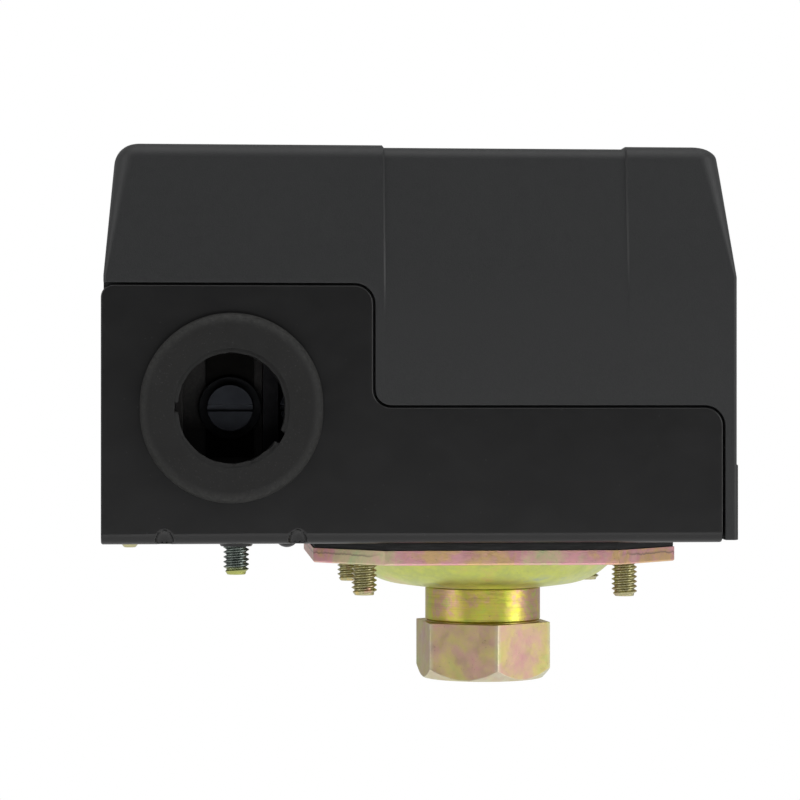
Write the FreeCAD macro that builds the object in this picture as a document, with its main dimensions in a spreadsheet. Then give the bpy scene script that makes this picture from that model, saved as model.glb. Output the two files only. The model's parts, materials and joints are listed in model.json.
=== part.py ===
"""Diaphragm pressure switch for an air compressor, as an assembly of its separate pieces.

Frame: millimetres, +Z up, origin at the centre of the port's end face, port axis along Z.
-Y is the front wall with the cable entry, and the contact block is on the -X side of the port.
"""
import FreeCAD, Part
import math
import os
import re
import Sketcher

VECTOR = FreeCAD.Vector

# Driving dimensions: name, value and what it is.
SIZES = {
    # port fitting, turned from hexagon bar
    "hex_flats": (21.0, "port hexagon across flats"),
    "hex_height": (9.65, "port hexagon height"),
    "hex_turn": (-23.7, "turn of the hexagon about the port axis, degrees"),
    "hex_chamfer": (1.9, "height of the chamfer on the hexagon's corners"),
    "hex_chamfer_cut": (1.75, "what that chamfer takes off the corner radius"),
    "neck_radius": (9.9, "turned neck above the hexagon"),
    "neck_top": (16.55, "height at which the neck meets the dish"),
    "spigot_radius": (7.9, "spigot staked through the dish"),
    "spigot_top": (19.75, "top of the staked spigot"),
    "port_bore": (5.95, "wall radius of the 1/4 inch pipe thread"),
    "port_depth": (12.0, "depth of the pipe thread"),
    "port_passage": (2.4, "radius of the passage to the diaphragm"),
    # pressure flange, pressed from plate
    "flange_low": (20.85, "underside of the flange plate"),
    "flange_top": (23.25, "upper face of the flange plate"),
    "flange_half": (30.1, "half the flange's width across flats"),
    "flange_chamfer": (11.0, "cut on the flange's corners"),
    "crown_bottom": (15.11, "lowest point of the dish under the flange"),
    "crown_radius": (100.0, "radius of the dish's shallow crown"),
    "crown_edge": (15.5, "where the crown runs into the knuckle"),
    "knuckle_radius": (11.0, "radius of the dish's knuckle"),
    "knuckle_turn": (42.0, "slope of the dish's side, degrees"),
    "dome_wall": (2.4, "wall of the dish"),
    "dome_mouth": (20.3, "radius of the pressure chamber at the diaphragm"),
    "screw_pitch_half": (21.55, "half the spacing of the flange screws"),
    # machine screws, nominal 8-32
    "screw_radius": (2.085, "outside radius of the flange and ground screws"),
    "screw_hole": (2.12, "hole that those screws fill"),
    "flange_screw_end": (15.25, "lower end of the flange screws"),
    "screw_head_radius": (3.9, "head radius of the flange and ground screws"),
    "screw_head_height": (2.6, "head height of the flange and ground screws"),
    "screw_point": (0.7, "chamfer at the end of a screw"),
    "screw_point_cut": (0.55, "how much thinner a screw's end is"),
    "slot_half_width": (0.5, "half width of a screwdriver slot"),
    "slot_deep": (1.1, "depth of a screwdriver slot"),
    "snug": (0.02, "play between a part and the hole it fills"),
    "fit": (0.03, "play between a shank and its drilled hole"),
    "beyond": (1.0, "how far a cutting tool reaches past the face it cuts"),
    # base, bent from steel sheet
    "base_low": (24.75, "underside of the base"),
    "steel": (1.5, "base sheet thickness"),
    "bend_radius": (2.2, "outer radius of the base's bends"),
    "base_left": (-64.6, "left edge of the base"),
    "base_right": (35.7, "right edge of the base"),
    "base_half_depth": (33.0, "outer faces of the front and rear walls"),
    "tall_right": (-21.1, "right edge of the walls' tall part"),
    "tall_top": (66.05, "top of the walls' tall part"),
    "low_top": (46.45, "top of the walls' low part"),
    "wall_corner": (3.0, "outer corner radius of the walls"),
    "wall_corner_left": (2.0, "radius of the walls' left corner"),
    "wall_inner_corner": (2.9, "radius of the walls' inner corner"),
    "dimple_left": (-54.5, "left stiffening dimple in each bend"),
    "dimple_right": (-33.2, "right stiffening dimple in each bend"),
    "dimple_radius": (1.45, "radius of a stiffening dimple"),
    "dimple_depth": (0.4, "distance of a dimple's axis from both outer faces"),
    "dimple_length": (4.8, "length of a dimple across the bend"),
    "gusset_wall": (1.0, "metal round a dimple inside the bend"),
    "gusset_length": (6.4, "length of that metal across the bend"),
    "piston_window": (9.6, "hole for the piston in base and frame"),
    # cable entries
    "entry_place": (-43.8, "X of the cable entries"),
    "entry_height": (46.35, "height of the cable entries"),
    "entry_hole": (11.15, "knock-out radius in the wall"),
    "grommet_outer": (14.9, "radius of the grommet's outer flange"),
    "grommet_inner": (13.4, "radius of the grommet's inner flange"),
    "grommet_bore": (8.7, "radius of the grommet's bore"),
    "grommet_proud": (2.8, "thickness of the outer flange"),
    "grommet_behind": (2.2, "thickness of the inner flange"),
    "grommet_round": (1.6, "rounding of the outer flange's rim"),
    # cover, moulded
    "cover_left": (-64.2, "left face of the cover"),
    "cover_right": (38.0, "right face of the cover"),
    "cover_half_depth": (33.0, "front and rear faces of the cover"),
    "cover_wall": (1.8, "wall of the cover"),
    "cover_low": (24.95, "lower edge of the cover"),
    "cover_break": (67.55, "height at which the walls start to lean in"),
    "cover_top": (88.95, "top of the cover"),
    "lean_left": (1.9, "lean of the left wall at the top"),
    "lean_right": (2.65, "lean of the other walls at the top"),
    "corner_low": (0.6, "corner radius of the cover's lower part"),
    "corner_top": (3.5, "corner radius at the cover's top"),
    "edge_round": (2.6, "rounding around the top"),
    "panel_half": (19.6, "half width of the sunk centre panel"),
    "panel_sink": (0.4, "depth of the sunk centre panel at the top"),
    "panel_end": (50.15, "height at which the centre panel runs out"),
    "cut_gap": (0.35, "gap between the base walls and the cover"),
    "lip_height": (37.15, "top of the thicker band low on the right wall"),
    "lip_proud": (0.25, "extra thickness of that band"),
    "cover_lift_gap": (0.2, "gap under the cover's left wall"),
    "inner_lip": (1.0, "thickness of the lip inside, behind the base walls' edges"),
    "inner_lip_reach": (1.5, "how far that lip reaches to either side of the edge"),
    "inner_lip_play": (0.25, "gap between the lip and the base walls"),
    # cover post and screw
    "post_place": (-13.3, "X of the cover post"),
    "post_flats": (7.0, "cover post across flats"),
    "post_top": (76.95, "top of the cover post"),
    "post_tap": (2.15, "tapped hole in the post"),
    "post_tap_depth": (13.0, "depth of that hole"),
    "post_foot": (2.5, "staked foot of the post"),
    "boss_radius": (6.6, "screw boss under the cover's top"),
    "boss_low": (77.15, "lower face of the screw boss"),
    "well_radius": (4.6, "screw well in the cover's top"),
    "well_floor": (79.65, "floor of the screw well"),
    "cover_screw_end": (66.15, "lower end of the cover screw"),
    # mechanism frame
    "frame_left": (-26.2, "left edge of the frame"),
    "frame_right": (34.6, "right edge of the frame"),
    "frame_half": (27.0, "half width of the frame's floor"),
    "cheek_left": (22.5, "left edge of the cheeks"),
    "cheek_in": (12.6, "inner face of each cheek"),
    "cheek_top": (39.15, "top of the cheeks"),
    # lever and pivot
    "pivot_place": (30.0, "X of the lever's pivot"),
    "pivot_height": (32.65, "height of the lever's pivot"),
    "pin_radius": (2.0, "pivot pin radius"),
    "pin_half": (16.4, "half length of the pivot pin"),
    "running_gap": (0.05, "radial running clearance"),
    "ring_groove": (1.3, "distance of a ring groove from the pin's end"),
    "ring_groove_width": (0.8, "width of a ring groove"),
    "ring_groove_depth": (0.35, "depth of a ring groove"),
    "ring_proud": (1.9, "how far a retaining ring stands out from the pin"),
    "ring_mouth": (1.4, "half the opening of a retaining ring"),
    "lever_left": (-24.6, "free end of the lever"),
    "lever_right": (33.2, "pivot end of the lever"),
    "lever_half": (11.8, "half width of the lever"),
    "lever_low": (35.15, "underside of the lever's plate"),
    "lever_top": (37.15, "upper face of the lever's plate"),
    "lever_flange": (8.0, "where the lever's side flanges start"),
    "lever_flange_low": (29.75, "lower edge of the side flanges"),
    "slot_half": (4.6, "half width of the lever's slot round the post"),
    "stud_window": (4.0, "radius of the lever's hole round the range stud"),
    # toggle spring
    "toggle_y": (8.0, "Y of the toggle spring"),
    "toggle_height": (32.15, "height of the toggle spring"),
    "toggle_lever": (-8.0, "X of the lever's toggle tab"),
    "toggle_sheet": (1.2, "thickness of both toggle tabs"),
    "toggle_tab_half": (3.0, "half width of both toggle tabs"),
    "toggle_end_gap": (0.3, "gap between the toggle spring and its tabs"),
    "toggle_coil": (1.7, "mean radius of the toggle spring"),
    "toggle_turns": (11.0, "turns of the toggle spring"),
    "fine_wire": (0.35, "wire radius of the toggle and bridge springs"),
    # range adjustment
    "stud_place": (16.0, "X of the range stud"),
    "stud_radius": (3.0, "range stud radius"),
    "stud_top": (82.15, "top of the range stud"),
    "stud_foot": (2.5, "staked foot of the range stud"),
    "stud_tip": (0.6, "chamfer at the range stud's top"),
    "seat_radius": (9.9, "spring seat radius"),
    "range_coil": (7.8, "mean radius of the range spring"),
    "range_wire": (1.3, "wire radius of the range spring"),
    "range_low": (38.75, "lower end of the range spring"),
    "range_high": (65.15, "upper end of the range spring"),
    "range_turns": (6.5, "turns of the range spring"),
    "seat_guide": (0.4, "play between the range spring and its guides"),
    "seat_top": (67.85, "top of the upper spring seat"),
    "nut_flats": (12.0, "range nut across flats"),
    "nut_height": (6.0, "range nut height"),
    "nut_crown_height": (0.8, "height of the range nut's crown"),
    # piston
    "piston_radius": (9.2, "piston radius"),
    "piston_rim": (3.6, "height of the piston's disc"),
    "piston_stem": (4.5, "radius of the piston's stem"),
    "piston_top": (34.85, "top of the piston's stem"),
    # contact block
    "block_left": (-52.8, "left face of the contact block"),
    "block_right": (-26.4, "right face of the contact block"),
    "block_half": (13.0, "half depth of the contact block"),
    "block_top": (55.15, "top of the contact block"),
    "foot_left": (-62.1, "left end of the block's foot"),
    "foot_top": (29.25, "top of the block's foot"),
    "foot_half": (16.0, "half depth of the block's foot"),
    "ear_left": (-38.5, "left edge of the block's ears"),
    "ear_right": (-31.0, "right edge of the block's ears"),
    "ear_half": (26.0, "half depth over the ears"),
    "pole_pitch": (12.0, "distance between the two poles"),
    "rib_width": (1.2, "thickness of the barrier ribs"),
    "rib_half": (19.0, "half depth over the barrier ribs"),
    "rib_low": (35.15, "lower edge of the barrier ribs"),
    "rib_top": (59.15, "top of the barrier ribs"),
    "rib_inner": (4.6, "how close the ribs come to the middle"),
    # fasteners of the block
    "block_screw_x": (-60.4, "X of the block's screws"),
    "block_screw_y": (12.0, "Y of the block's screws"),
    "block_screw_radius": (1.5, "radius of the block's screws"),
    "block_screw_head": (1.9, "height of the block screws' heads"),
    "block_screw_end": (23.1, "lower end of the block's screws"),
    "rivet_x": (-34.6, "X of the block's rivets"),
    "rivet_y": (22.5, "Y of the block's rivets"),
    "rivet_radius": (1.25, "shank radius of the rivets"),
    "rivet_head": (1.6, "radius of the rivets' formed heads"),
    "rivet_low": (23.55, "lowest point of the rivets"),
    "ground_x": (-42.9, "X of the ground screw"),
    "ground_y": (-24.0, "Y of the ground screw"),
    "ground_end": (19.25, "lower end of the ground screw"),
    "ground_collar": (2.65, "radius of the extruded collar of the ground hole"),
    "collar_low": (24.05, "lower end of that collar"),
    # terminals and contacts
    "strap_half": (4.0, "half width of a terminal strap"),
    "strap": (1.2, "thickness of a terminal strap"),
    "strap_low": (38.15, "lower end of a terminal strap"),
    "strap_inner": (4.6, "inner end of a terminal strap"),
    "contact_y": (8.0, "Y of the contacts"),
    "contact_radius": (2.1, "radius of a contact button"),
    "contact_height": (1.0, "height of a contact button"),
    "contact_gap": (0.1, "gap between closed contacts in the model"),
    "clamp_radius": (5.2, "radius of a round wire clamp"),
    "clamp": (1.4, "thickness of a wire clamp"),
    "terminal_head": (3.85, "head radius of a terminal screw"),
    "terminal_head_height": (2.6, "head height of a terminal screw"),
    "terminal_shank": (2.0, "shank radius of a terminal screw"),
    "terminal_end": (6.0, "inner end of a terminal screw"),
    "bridge_half": (11.0, "half length of a contact bridge"),
    "bridge_width_half": (3.0, "half width of a contact bridge"),
    "bridge": (1.0, "thickness of a contact bridge"),
    # contact carrier
    "carrier_low": (55.75, "underside of the carrier"),
    "carrier_top": (70.15, "top of the carrier"),
    "carrier_left": (-49.0, "left end of the carrier"),
    "carrier_right": (-20.6, "right end of the carrier"),
    "carrier_half": (3.6, "half depth of the carrier"),
    "carrier_leg": (-23.0, "left face of the carrier's leg"),
    "carrier_leg_low": (37.35, "lower end of the carrier's leg"),
    "window_half": (4.2, "half width of the carrier's windows"),
    "window_low": (58.15, "lower edge of the carrier's windows"),
    "window_top": (68.15, "upper edge of the carrier's windows"),
    "peg_radius": (2.0, "radius of the carrier's guide pegs"),
    "peg_low": (43.15, "lower end of the guide pegs"),
    "peg_hole_low": (41.15, "bottom of the guide holes"),
    # yoke over the carrier
    "yoke_left": (-38.5, "left edge of the yoke's legs"),
    "yoke_right": (-35.9, "right edge of the yoke's legs"),
    "yoke_in": (19.6, "inner face of the yoke's legs"),
    "yoke_sheet": (1.2, "yoke sheet thickness"),
    "yoke_under": (78.35, "underside of the yoke's bridge"),
    "return_coil": (2.4, "mean radius of the carrier's return spring"),
    "return_wire": (0.4, "wire radius of that spring"),
    "return_turns": (4.5, "turns of that spring"),
    "bridge_coil": (2.1, "mean radius of a bridge's spring"),
    "bridge_turns": (6.0, "turns of a bridge's spring"),
}

doc = FreeCAD.newDocument("PressureSwitch")
sheet = doc.addObject("Spreadsheet::Sheet", "Sizes")
for row, (alias, (number, note)) in enumerate(SIZES.items(), start=1):
    sheet.set(f"A{row}", note)
    sheet.set(f"B{row}", str(number))
    sheet.setAlias(f"B{row}", alias)
doc.recompute()

WORD = re.compile(r"\b[a-z][a-z_0-9]*\b")
AXES = ("x", "y", "z")
LAY = {"x": FreeCAD.Rotation(VECTOR(0, 1, 0), 90),
       "y": FreeCAD.Rotation(VECTOR(1, 0, 0), -90),
       "z": FreeCAD.Rotation()}
nodes = []


# ---------------------------------------------------------------- expressions and nodes
def bound(text):
    """The expression with each size's name pointing into the spreadsheet."""
    return WORD.sub(lambda word: "Sizes." + word[0] if word[0] in SIZES else word[0], str(text))


def size(text):
    """The value of an expression in the spreadsheet's names."""
    return float(sheet.evalExpression(str(text)))


def bind(item, prop, text):
    item.setExpression(prop, bound(text))
    return item


def place(item, centre):
    """Binds an object's position to three expressions."""
    for axis, text in zip(AXES, centre):
        bind(item, "Placement.Base." + axis, text)
    return item


def node(name, item):
    """Marks an object as a finished sub-part and gives it its label."""
    item.Label = name
    nodes.append(item)
    return item


# ---------------------------------------------------------------- primitives and booleans
def box(name, x, y, z):
    """A box between a pair of expressions along each axis."""
    item = doc.addObject("Part::Box", name)
    for prop, (low, high) in zip(("Length", "Width", "Height"), (x, y, z)):
        bind(item, prop, f"({high}) - ({low})")
    return place(item, (x[0], y[0], z[0]))


def start_of(across, low, along):
    """The position expressions of a piece that starts at low on its axis."""
    spots = list(across)
    spots.insert(AXES.index(along), low)
    return spots


def rod(name, across, span, radius, along="z"):
    """A cylinder round an axis parallel to X, Y or Z; across gives the two other coordinates."""
    item = doc.addObject("Part::Cylinder", name)
    item.Placement = FreeCAD.Placement(VECTOR(), LAY[along])
    bind(item, "Radius", radius)
    bind(item, "Height", f"({span[1]}) - ({span[0]})")
    return place(item, start_of(across, span[0], along))


def taper(name, across, span, radii, along="z"):
    """A cone frustum round an axis parallel to X, Y or Z."""
    item = doc.addObject("Part::Cone", name)
    item.Placement = FreeCAD.Placement(VECTOR(), LAY[along])
    bind(item, "Radius1", radii[0])
    bind(item, "Radius2", radii[1])
    bind(item, "Height", f"({span[1]}) - ({span[0]})")
    return place(item, start_of(across, span[0], along))


def hexagon(name, across, span, flats, turn="0"):
    """A hexagonal prism standing along Z."""
    item = doc.addObject("Part::Prism", name)
    item.Polygon = 6
    bind(item, "Circumradius", f"({flats}) / sqrt(3)")
    bind(item, "Height", f"({span[1]}) - ({span[0]})")
    place(item, start_of(across, span[0], "z"))
    item.Placement.Rotation = FreeCAD.Rotation(VECTOR(0, 0, 1), size(turn))
    return item


def fuse(name, *items):
    result = doc.addObject("Part::MultiFuse", name)
    result.Shapes = list(items)
    result.Refine = True
    return result


def cut(name, base, *tools):
    result = doc.addObject("Part::Cut", name)
    result.Base = base
    result.Tool = tools[0] if len(tools) == 1 else fuse(name + "_tools", *tools)
    return result


def common(name, *items):
    result = doc.addObject("Part::MultiCommon", name)
    result.Shapes = list(items)
    return result


def group(name, items):
    """Identical pieces of one kind as one node of separate solids."""
    result = doc.addObject("Part::Compound", name)
    result.Links = list(items)
    return node(name, result)


# ---------------------------------------------------------------- bodies and sketches
def sketch(body, role, name, height="0"):
    """A sketch parallel to one of the body's own origin planes."""
    item = body.newObject("Sketcher::SketchObject", name)
    plane = next(each for each in body.Origin.OriginFeatures if each.Role == role)
    item.AttachmentSupport = (plane, [""])
    item.MapMode = "FlatFace"
    return bind(item, "AttachmentOffset.Base.z", height)


def hold(item, part, spot, place_pair):
    """Fixes a point of a sketch at a pair of expressions from the sketch's origin."""
    for kind, text in zip(("DistanceX", "DistanceY"), place_pair):
        index = item.addConstraint(Sketcher.Constraint(kind, -1, 1, part, spot, size(text)))
        bind(item, f"Constraints[{index}]", text)


def arc_between(start, end, radius):
    """An arc from start to end, anticlockwise when radius is positive."""
    chord = end - start
    middle = (start + end) * 0.5
    rise = math.sqrt(max(radius * radius - chord.Length ** 2 / 4, 0))
    side = VECTOR(-chord.y, chord.x, 0).normalize() * math.copysign(rise, radius)
    centre = middle + side
    angles = [math.atan2(p.y - centre.y, p.x - centre.x) for p in (start, end)]
    if radius < 0:
        angles.reverse()
    circle = Part.Circle(centre, VECTOR(0, 0, 1), abs(radius))
    return Part.ArcOfCircle(circle, *angles)


def outline(item, corners):
    """A closed outline. Each corner is (u, v), or (u, v, radius) when an arc leads to the next."""
    spots = [VECTOR(size(corner[0]), size(corner[1]), 0) for corner in corners]
    first = item.GeometryCount
    entry = []
    leave = []
    for index, corner in enumerate(corners):
        start = spots[index]
        end = spots[(index + 1) % len(spots)]
        radius = size(corner[2]) if len(corner) > 2 else 0
        edge = arc_between(start, end, radius) if radius else Part.LineSegment(start, end)
        item.addGeometry(edge)
        entry.append(2 if radius < 0 else 1)
        leave.append(1 if radius < 0 else 2)
    for index, corner in enumerate(corners):
        part = first + index
        after = (index + 1) % len(corners)
        item.addConstraint(Sketcher.Constraint("Coincident", part, leave[index],
                                               first + after, entry[after]))
        hold(item, part, entry[index], corner[:2])
        if len(corner) > 2:
            bend = item.addConstraint(Sketcher.Constraint("Radius", part, abs(size(corner[2]))))
            bind(item, f"Constraints[{bend}]", f"abs({corner[2]})")
    return item


def circle(item, u, v, radius):
    part = item.addGeometry(Part.Circle(VECTOR(size(u), size(v), 0), VECTOR(0, 0, 1), size(radius)))
    hold(item, part, 3, (u, v))
    index = item.addConstraint(Sketcher.Constraint("Radius", part, size(radius)))
    bind(item, f"Constraints[{index}]", radius)
    return item


def round_corners(x, y, radius):
    """The eight corners of a rectangle with round corners."""
    (left, right), (front, back) = x, y
    return [(f"{left} + {radius}", front), (f"{right} - {radius}", front, radius),
            (right, f"{front} + {radius}"), (right, f"{back} - {radius}", radius),
            (f"{right} - {radius}", back), (f"{left} + {radius}", back, radius),
            (left, f"{back} - {radius}"), (left, f"{front} + {radius}", radius)]


def extrude(body, kind, profile, length, flip=False):
    """A Pad or Pocket of a sketch."""
    item = body.newObject("PartDesign::" + kind, profile.Name + "_" + kind.lower())
    item.Profile = profile
    item.Reversed = flip
    body.Tip = item
    return bind(item, "Length", length)


def pocket(body, profile, length, flip=False):
    """A Pocket that has to take something away."""
    doc.recompute()
    before = body.Shape.Volume
    item = extrude(body, "Pocket", profile, length, flip)
    doc.recompute()
    if body.Shape.Volume > before - 1e-3:
        raise RuntimeError(profile.Name + " cuts nothing")
    return item


def revolve(body, kind, profile, axis):
    """A Revolution or Groove round one of the sketch's own axes."""
    item = body.newObject("PartDesign::" + kind, profile.Name + "_" + kind.lower())
    item.Profile = profile
    item.ReferenceAxis = (profile, [axis])
    item.Angle = 360
    body.Tip = item
    return item


def loft(body, kind, low, high):
    item = body.newObject("PartDesign::" + kind, low.Name + "_loft")
    item.Profile = low
    item.Sections = [high]
    item.Ruled = True
    body.Tip = item
    return item


def soften(body, radius, chosen, name):
    """Rounds the edges of a body that the test picks."""
    doc.recompute()
    last = body.Tip
    picked = [f"Edge{number}" for number, edge in enumerate(last.Shape.Edges, start=1) if chosen(edge)]
    if not picked:
        raise RuntimeError(name + " finds no edge")
    item = body.newObject("PartDesign::Fillet", name)
    item.Base = (last, picked)
    body.Tip = item
    return bind(item, "Radius", radius)


def coil(name, centre, span, coil_radius, wire_radius, turns, along="z"):
    """A helical spring; the shape is swept here and takes its sizes from the spreadsheet."""
    height = span[1] - span[0] - 2 * wire_radius
    helix = Part.makeHelix(height / turns, height, coil_radius)
    ring = Part.Circle(VECTOR(coil_radius, 0, 0), VECTOR(0, 1, 0), wire_radius)
    pipe = Part.Wire(helix.Edges).makePipeShell([Part.Wire(ring.toShape())], True, True)
    item = doc.addObject("Part::Feature", name)
    item.Shape = pipe if pipe.ShapeType == "Solid" else Part.Solid(pipe)
    spots = list(centre)
    spots.insert(AXES.index(along), span[0] + wire_radius)
    item.Placement = FreeCAD.Placement(VECTOR(*spots), LAY[along])
    return item


# ---------------------------------------------------------------- base
def wall_outline(item):
    """The L-shaped wall of the base: tall on the left, low on the right, seen from the front."""
    left, right, step = "base_left", "base_right", "tall_right"
    near, round_, inner = "wall_corner_left", "wall_corner", "wall_inner_corner"
    return outline(item, [
        (left, "base_low"), (right, "base_low"),
        (right, f"low_top - {round_}", round_), (f"{right} - {round_}", "low_top"),
        (f"{step} + {inner}", "low_top", "-" + inner), (step, f"low_top + {inner}"),
        (step, f"tall_top - {round_}", round_), (f"{step} - {round_}", "tall_top"),
        (f"{left} + {near}", "tall_top", near), (left, f"tall_top - {near}")])


def base_plate():
    """One steel sheet bent to a U: bottom, front wall and rear wall, with holes and dimples."""
    body = doc.addObject("PartDesign::Body", "base_body")
    walls = wall_outline(sketch(body, "XZ_Plane", "base_walls", "-base_half_depth"))
    extrude(body, "Pad", walls, "2 * base_half_depth")
    room = sketch(body, "YZ_Plane", "base_room", "base_left - 1")
    inside = "(base_half_depth - steel)"
    inner = "(bend_radius - steel)"
    floor = "base_low + steel"
    outline(room, [(f"-{inside} + {inner}", floor), (f"{inside} - {inner}", floor, inner),
                   (inside, f"{floor} + {inner}"), (inside, "tall_top + 1"),
                   (f"-{inside}", "tall_top + 1"), (f"-{inside}", f"{floor} + {inner}", inner)])
    pocket(body, room, "base_right - base_left + 2", flip=True)
    bends = soften(body, "bend_radius",
                   lambda edge: edge.BoundBox.XLength > 90 and edge.BoundBox.ZMax < size("base_low") + 0.01
                   and abs(edge.BoundBox.YMax) > size("base_half_depth") - 0.01, "base_bends")
    body.Tip = bends
    entries = sketch(body, "XZ_Plane", "base_entries", "-base_half_depth - 1")
    circle(entries, "entry_place", "entry_height", "entry_hole")
    pocket(body, entries, "2 * base_half_depth + 2", flip=True)
    holes = sketch(body, "XY_Plane", "base_holes", "base_low - 1")
    circle(holes, "0", "0", "piston_window")
    circle(holes, "ground_x", "ground_y", "screw_hole")
    for side in ("-", ""):
        circle(holes, "block_screw_x", side + "block_screw_y", "block_screw_radius + fit")
        circle(holes, "rivet_x", side + "rivet_y", "rivet_radius + fit")
        for across in ("-", ""):
            circle(holes, across + "screw_pitch_half", side + "screw_pitch_half", "screw_hole")
    pocket(body, holes, "steel + 2", flip=True)

    collar = cut("ground_collar_ring",
                 rod("collar_outside", ("ground_x", "ground_y"), ("collar_low", "base_low + 0.5"),
                     "ground_collar"),
                 rod("collar_inside", ("ground_x", "ground_y"), ("collar_low - 1", "base_low + 1"),
                     "screw_hole"))
    dents, gussets = [], []
    for column in ("dimple_left", "dimple_right"):
        for side in ("-", ""):
            tag = f"{column}_{'front' if side else 'rear'}"
            dents.append(dimple(tag + "_dent", column, side, "dimple_radius", "dimple_length"))
            gussets.append(dimple(tag + "_gusset", column, side, "dimple_radius + gusset_wall",
                                  "gusset_length"))
    keep_in = box("gusset_limits", ("base_left", "base_right"),
                  ("-base_half_depth + 0.3", "base_half_depth - 0.3"), ("base_low + 0.3", "low_top"))
    inner_gussets = common("inner_gussets", fuse("gussets", *gussets), keep_in)
    whole = fuse("base_with_gussets", body, collar, inner_gussets)
    node("base_plate", cut("base_finished", whole, *dents))


def dimple(name, column, side, radius, length):
    """A rod lying across a bend at 45 degrees, just inside the corner."""
    item = doc.addObject("Part::Cylinder", name)
    turn = 45 if side else -45
    item.Placement = FreeCAD.Placement(VECTOR(), FreeCAD.Rotation(VECTOR(1, 0, 0), turn))
    bind(item, "Radius", radius)
    bind(item, "Height", length)
    back = f"{length} / 2 * sin(45)"
    return place(item, (column, f"{side}(base_half_depth - dimple_depth - {back})",
                        f"base_low + dimple_depth - {back}"))


def grommet(name, front):
    """Rubber grommet in a wall's knock-out, turned round its own axis and set in the wall."""
    body = doc.addObject("PartDesign::Body", name + "_body")
    profile = sketch(body, "XZ_Plane", name + "_profile")
    rim, groove = "grommet_round", "entry_hole - 0.05"
    outline(profile, [
        ("grommet_bore", "-grommet_behind - steel"), ("grommet_inner - 1", "-grommet_behind - steel", "1"),
        ("grommet_inner", "-grommet_behind - steel + 1"), ("grommet_inner", "-steel"),
        (groove, "-steel"), (groove, "0"), ("grommet_outer", "0"),
        ("grommet_outer", f"grommet_proud - {rim}", rim), (f"grommet_outer - {rim}", "grommet_proud"),
        ("grommet_bore + 0.8", "grommet_proud", "0.8"), ("grommet_bore", "grommet_proud - 0.8")])
    revolve(body, "Revolution", profile, "V_Axis")
    side = "-" if front else ""
    body.Placement = FreeCAD.Placement(VECTOR(), FreeCAD.Rotation(VECTOR(1, 0, 0), 90 if front else -90))
    node(name, place(body, ("entry_place", side + "base_half_depth", "entry_height")))


# ---------------------------------------------------------------- pressure side
def octagon(item, half, chamfer):
    """A square with its corners cut off."""
    far, near = half, f"({half} - {chamfer})"
    return outline(item, [(f"-{near}", f"-{far}"), (near, f"-{far}"), (far, f"-{near}"), (far, near),
                          (near, far), (f"-{near}", far), (f"-{far}", near), (f"-{far}", f"-{near}")])


def corner_circles(item, radius):
    for across in ("-", ""):
        for side in ("-", ""):
            circle(item, across + "screw_pitch_half", side + "screw_pitch_half", radius)
    return item


def diaphragm():
    """Fabric-reinforced rubber sheet clamped between the flange and the base."""
    body = doc.addObject("PartDesign::Body", "diaphragm_body")
    sheet = sketch(body, "XY_Plane", "diaphragm_sheet", "flange_top")
    shape = octagon(sheet, "(flange_half - 0.1)", "flange_chamfer")
    corner_circles(shape, "screw_hole")
    extrude(body, "Pad", shape, "base_low - flange_top")
    node("diaphragm", body)


def dish_arcs(inset):
    """Crown and knuckle of the dish, inset from its outside: crown radius, knuckle, start of the side."""
    slope = "asin(crown_edge / crown_radius)"
    crown, knuckle = f"(crown_radius - {inset})", f"(knuckle_radius - {inset})"
    middle = "(crown_bottom + crown_radius)"
    knuckle_r = f"(crown_edge - knuckle_radius * sin({slope}))"
    knuckle_z = f"({middle} - (crown_radius - knuckle_radius) * cos({slope}))"
    meet = (f"{crown} * sin({slope})", f"{middle} - {crown} * cos({slope})", knuckle)
    side = (f"({knuckle_r} + {knuckle} * sin(knuckle_turn))",
            f"({knuckle_z} - {knuckle} * cos(knuckle_turn))")
    return crown, meet, side


def on_crown(radius, inset):
    """Height of the crown at a distance from the axis."""
    return f"crown_bottom + crown_radius - sqrt((crown_radius - {inset}) ^ 2 - ({radius}) ^ 2)"


def pressure_flange():
    """Octagonal plate with a shallow dish pressed down in its middle."""
    body = doc.addObject("PartDesign::Body", "flange_body")
    plate = octagon(sketch(body, "XY_Plane", "flange_plate", "flange_low"), "flange_half", "flange_chamfer")
    extrude(body, "Pad", plate, "flange_top - flange_low")
    dish = sketch(body, "XZ_Plane", "flange_dish")
    crown, meet, side = dish_arcs("0")
    hole, root = "(spigot_radius + fit)", "flange_low + 0.2"
    far = f"{side[0]} + ({root} - {side[1]}) / tan(knuckle_turn)"
    outline(dish, [(hole, on_crown(hole, "0"), crown), meet, side, (far, root),
                   (far, "flange_top"), (hole, "flange_top")])
    revolve(body, "Revolution", dish, "V_Axis")
    chamber = sketch(body, "XZ_Plane", "flange_chamber")
    crown, meet, side = dish_arcs("dome_wall")
    rim = f"{side[1]} + (dome_mouth - {side[0]}) * tan(knuckle_turn)"
    outline(chamber, [("0.5", on_crown("0.5", "dome_wall"), crown), meet, side, ("dome_mouth", rim),
                      ("dome_mouth", "flange_top + 1"), ("0.5", "flange_top + 1")])
    revolve(body, "Groove", chamber, "V_Axis")
    staked = sketch(body, "XY_Plane", "flange_middle", "flange_top + beyond")
    pocket(body, circle(staked, "0", "0", hole), "flange_top")
    taps = corner_circles(sketch(body, "XY_Plane", "flange_taps", "flange_top + 1"), "screw_hole")
    pocket(body, taps, "flange_top - flange_low + 2")
    node("pressure_flange", body)


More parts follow.
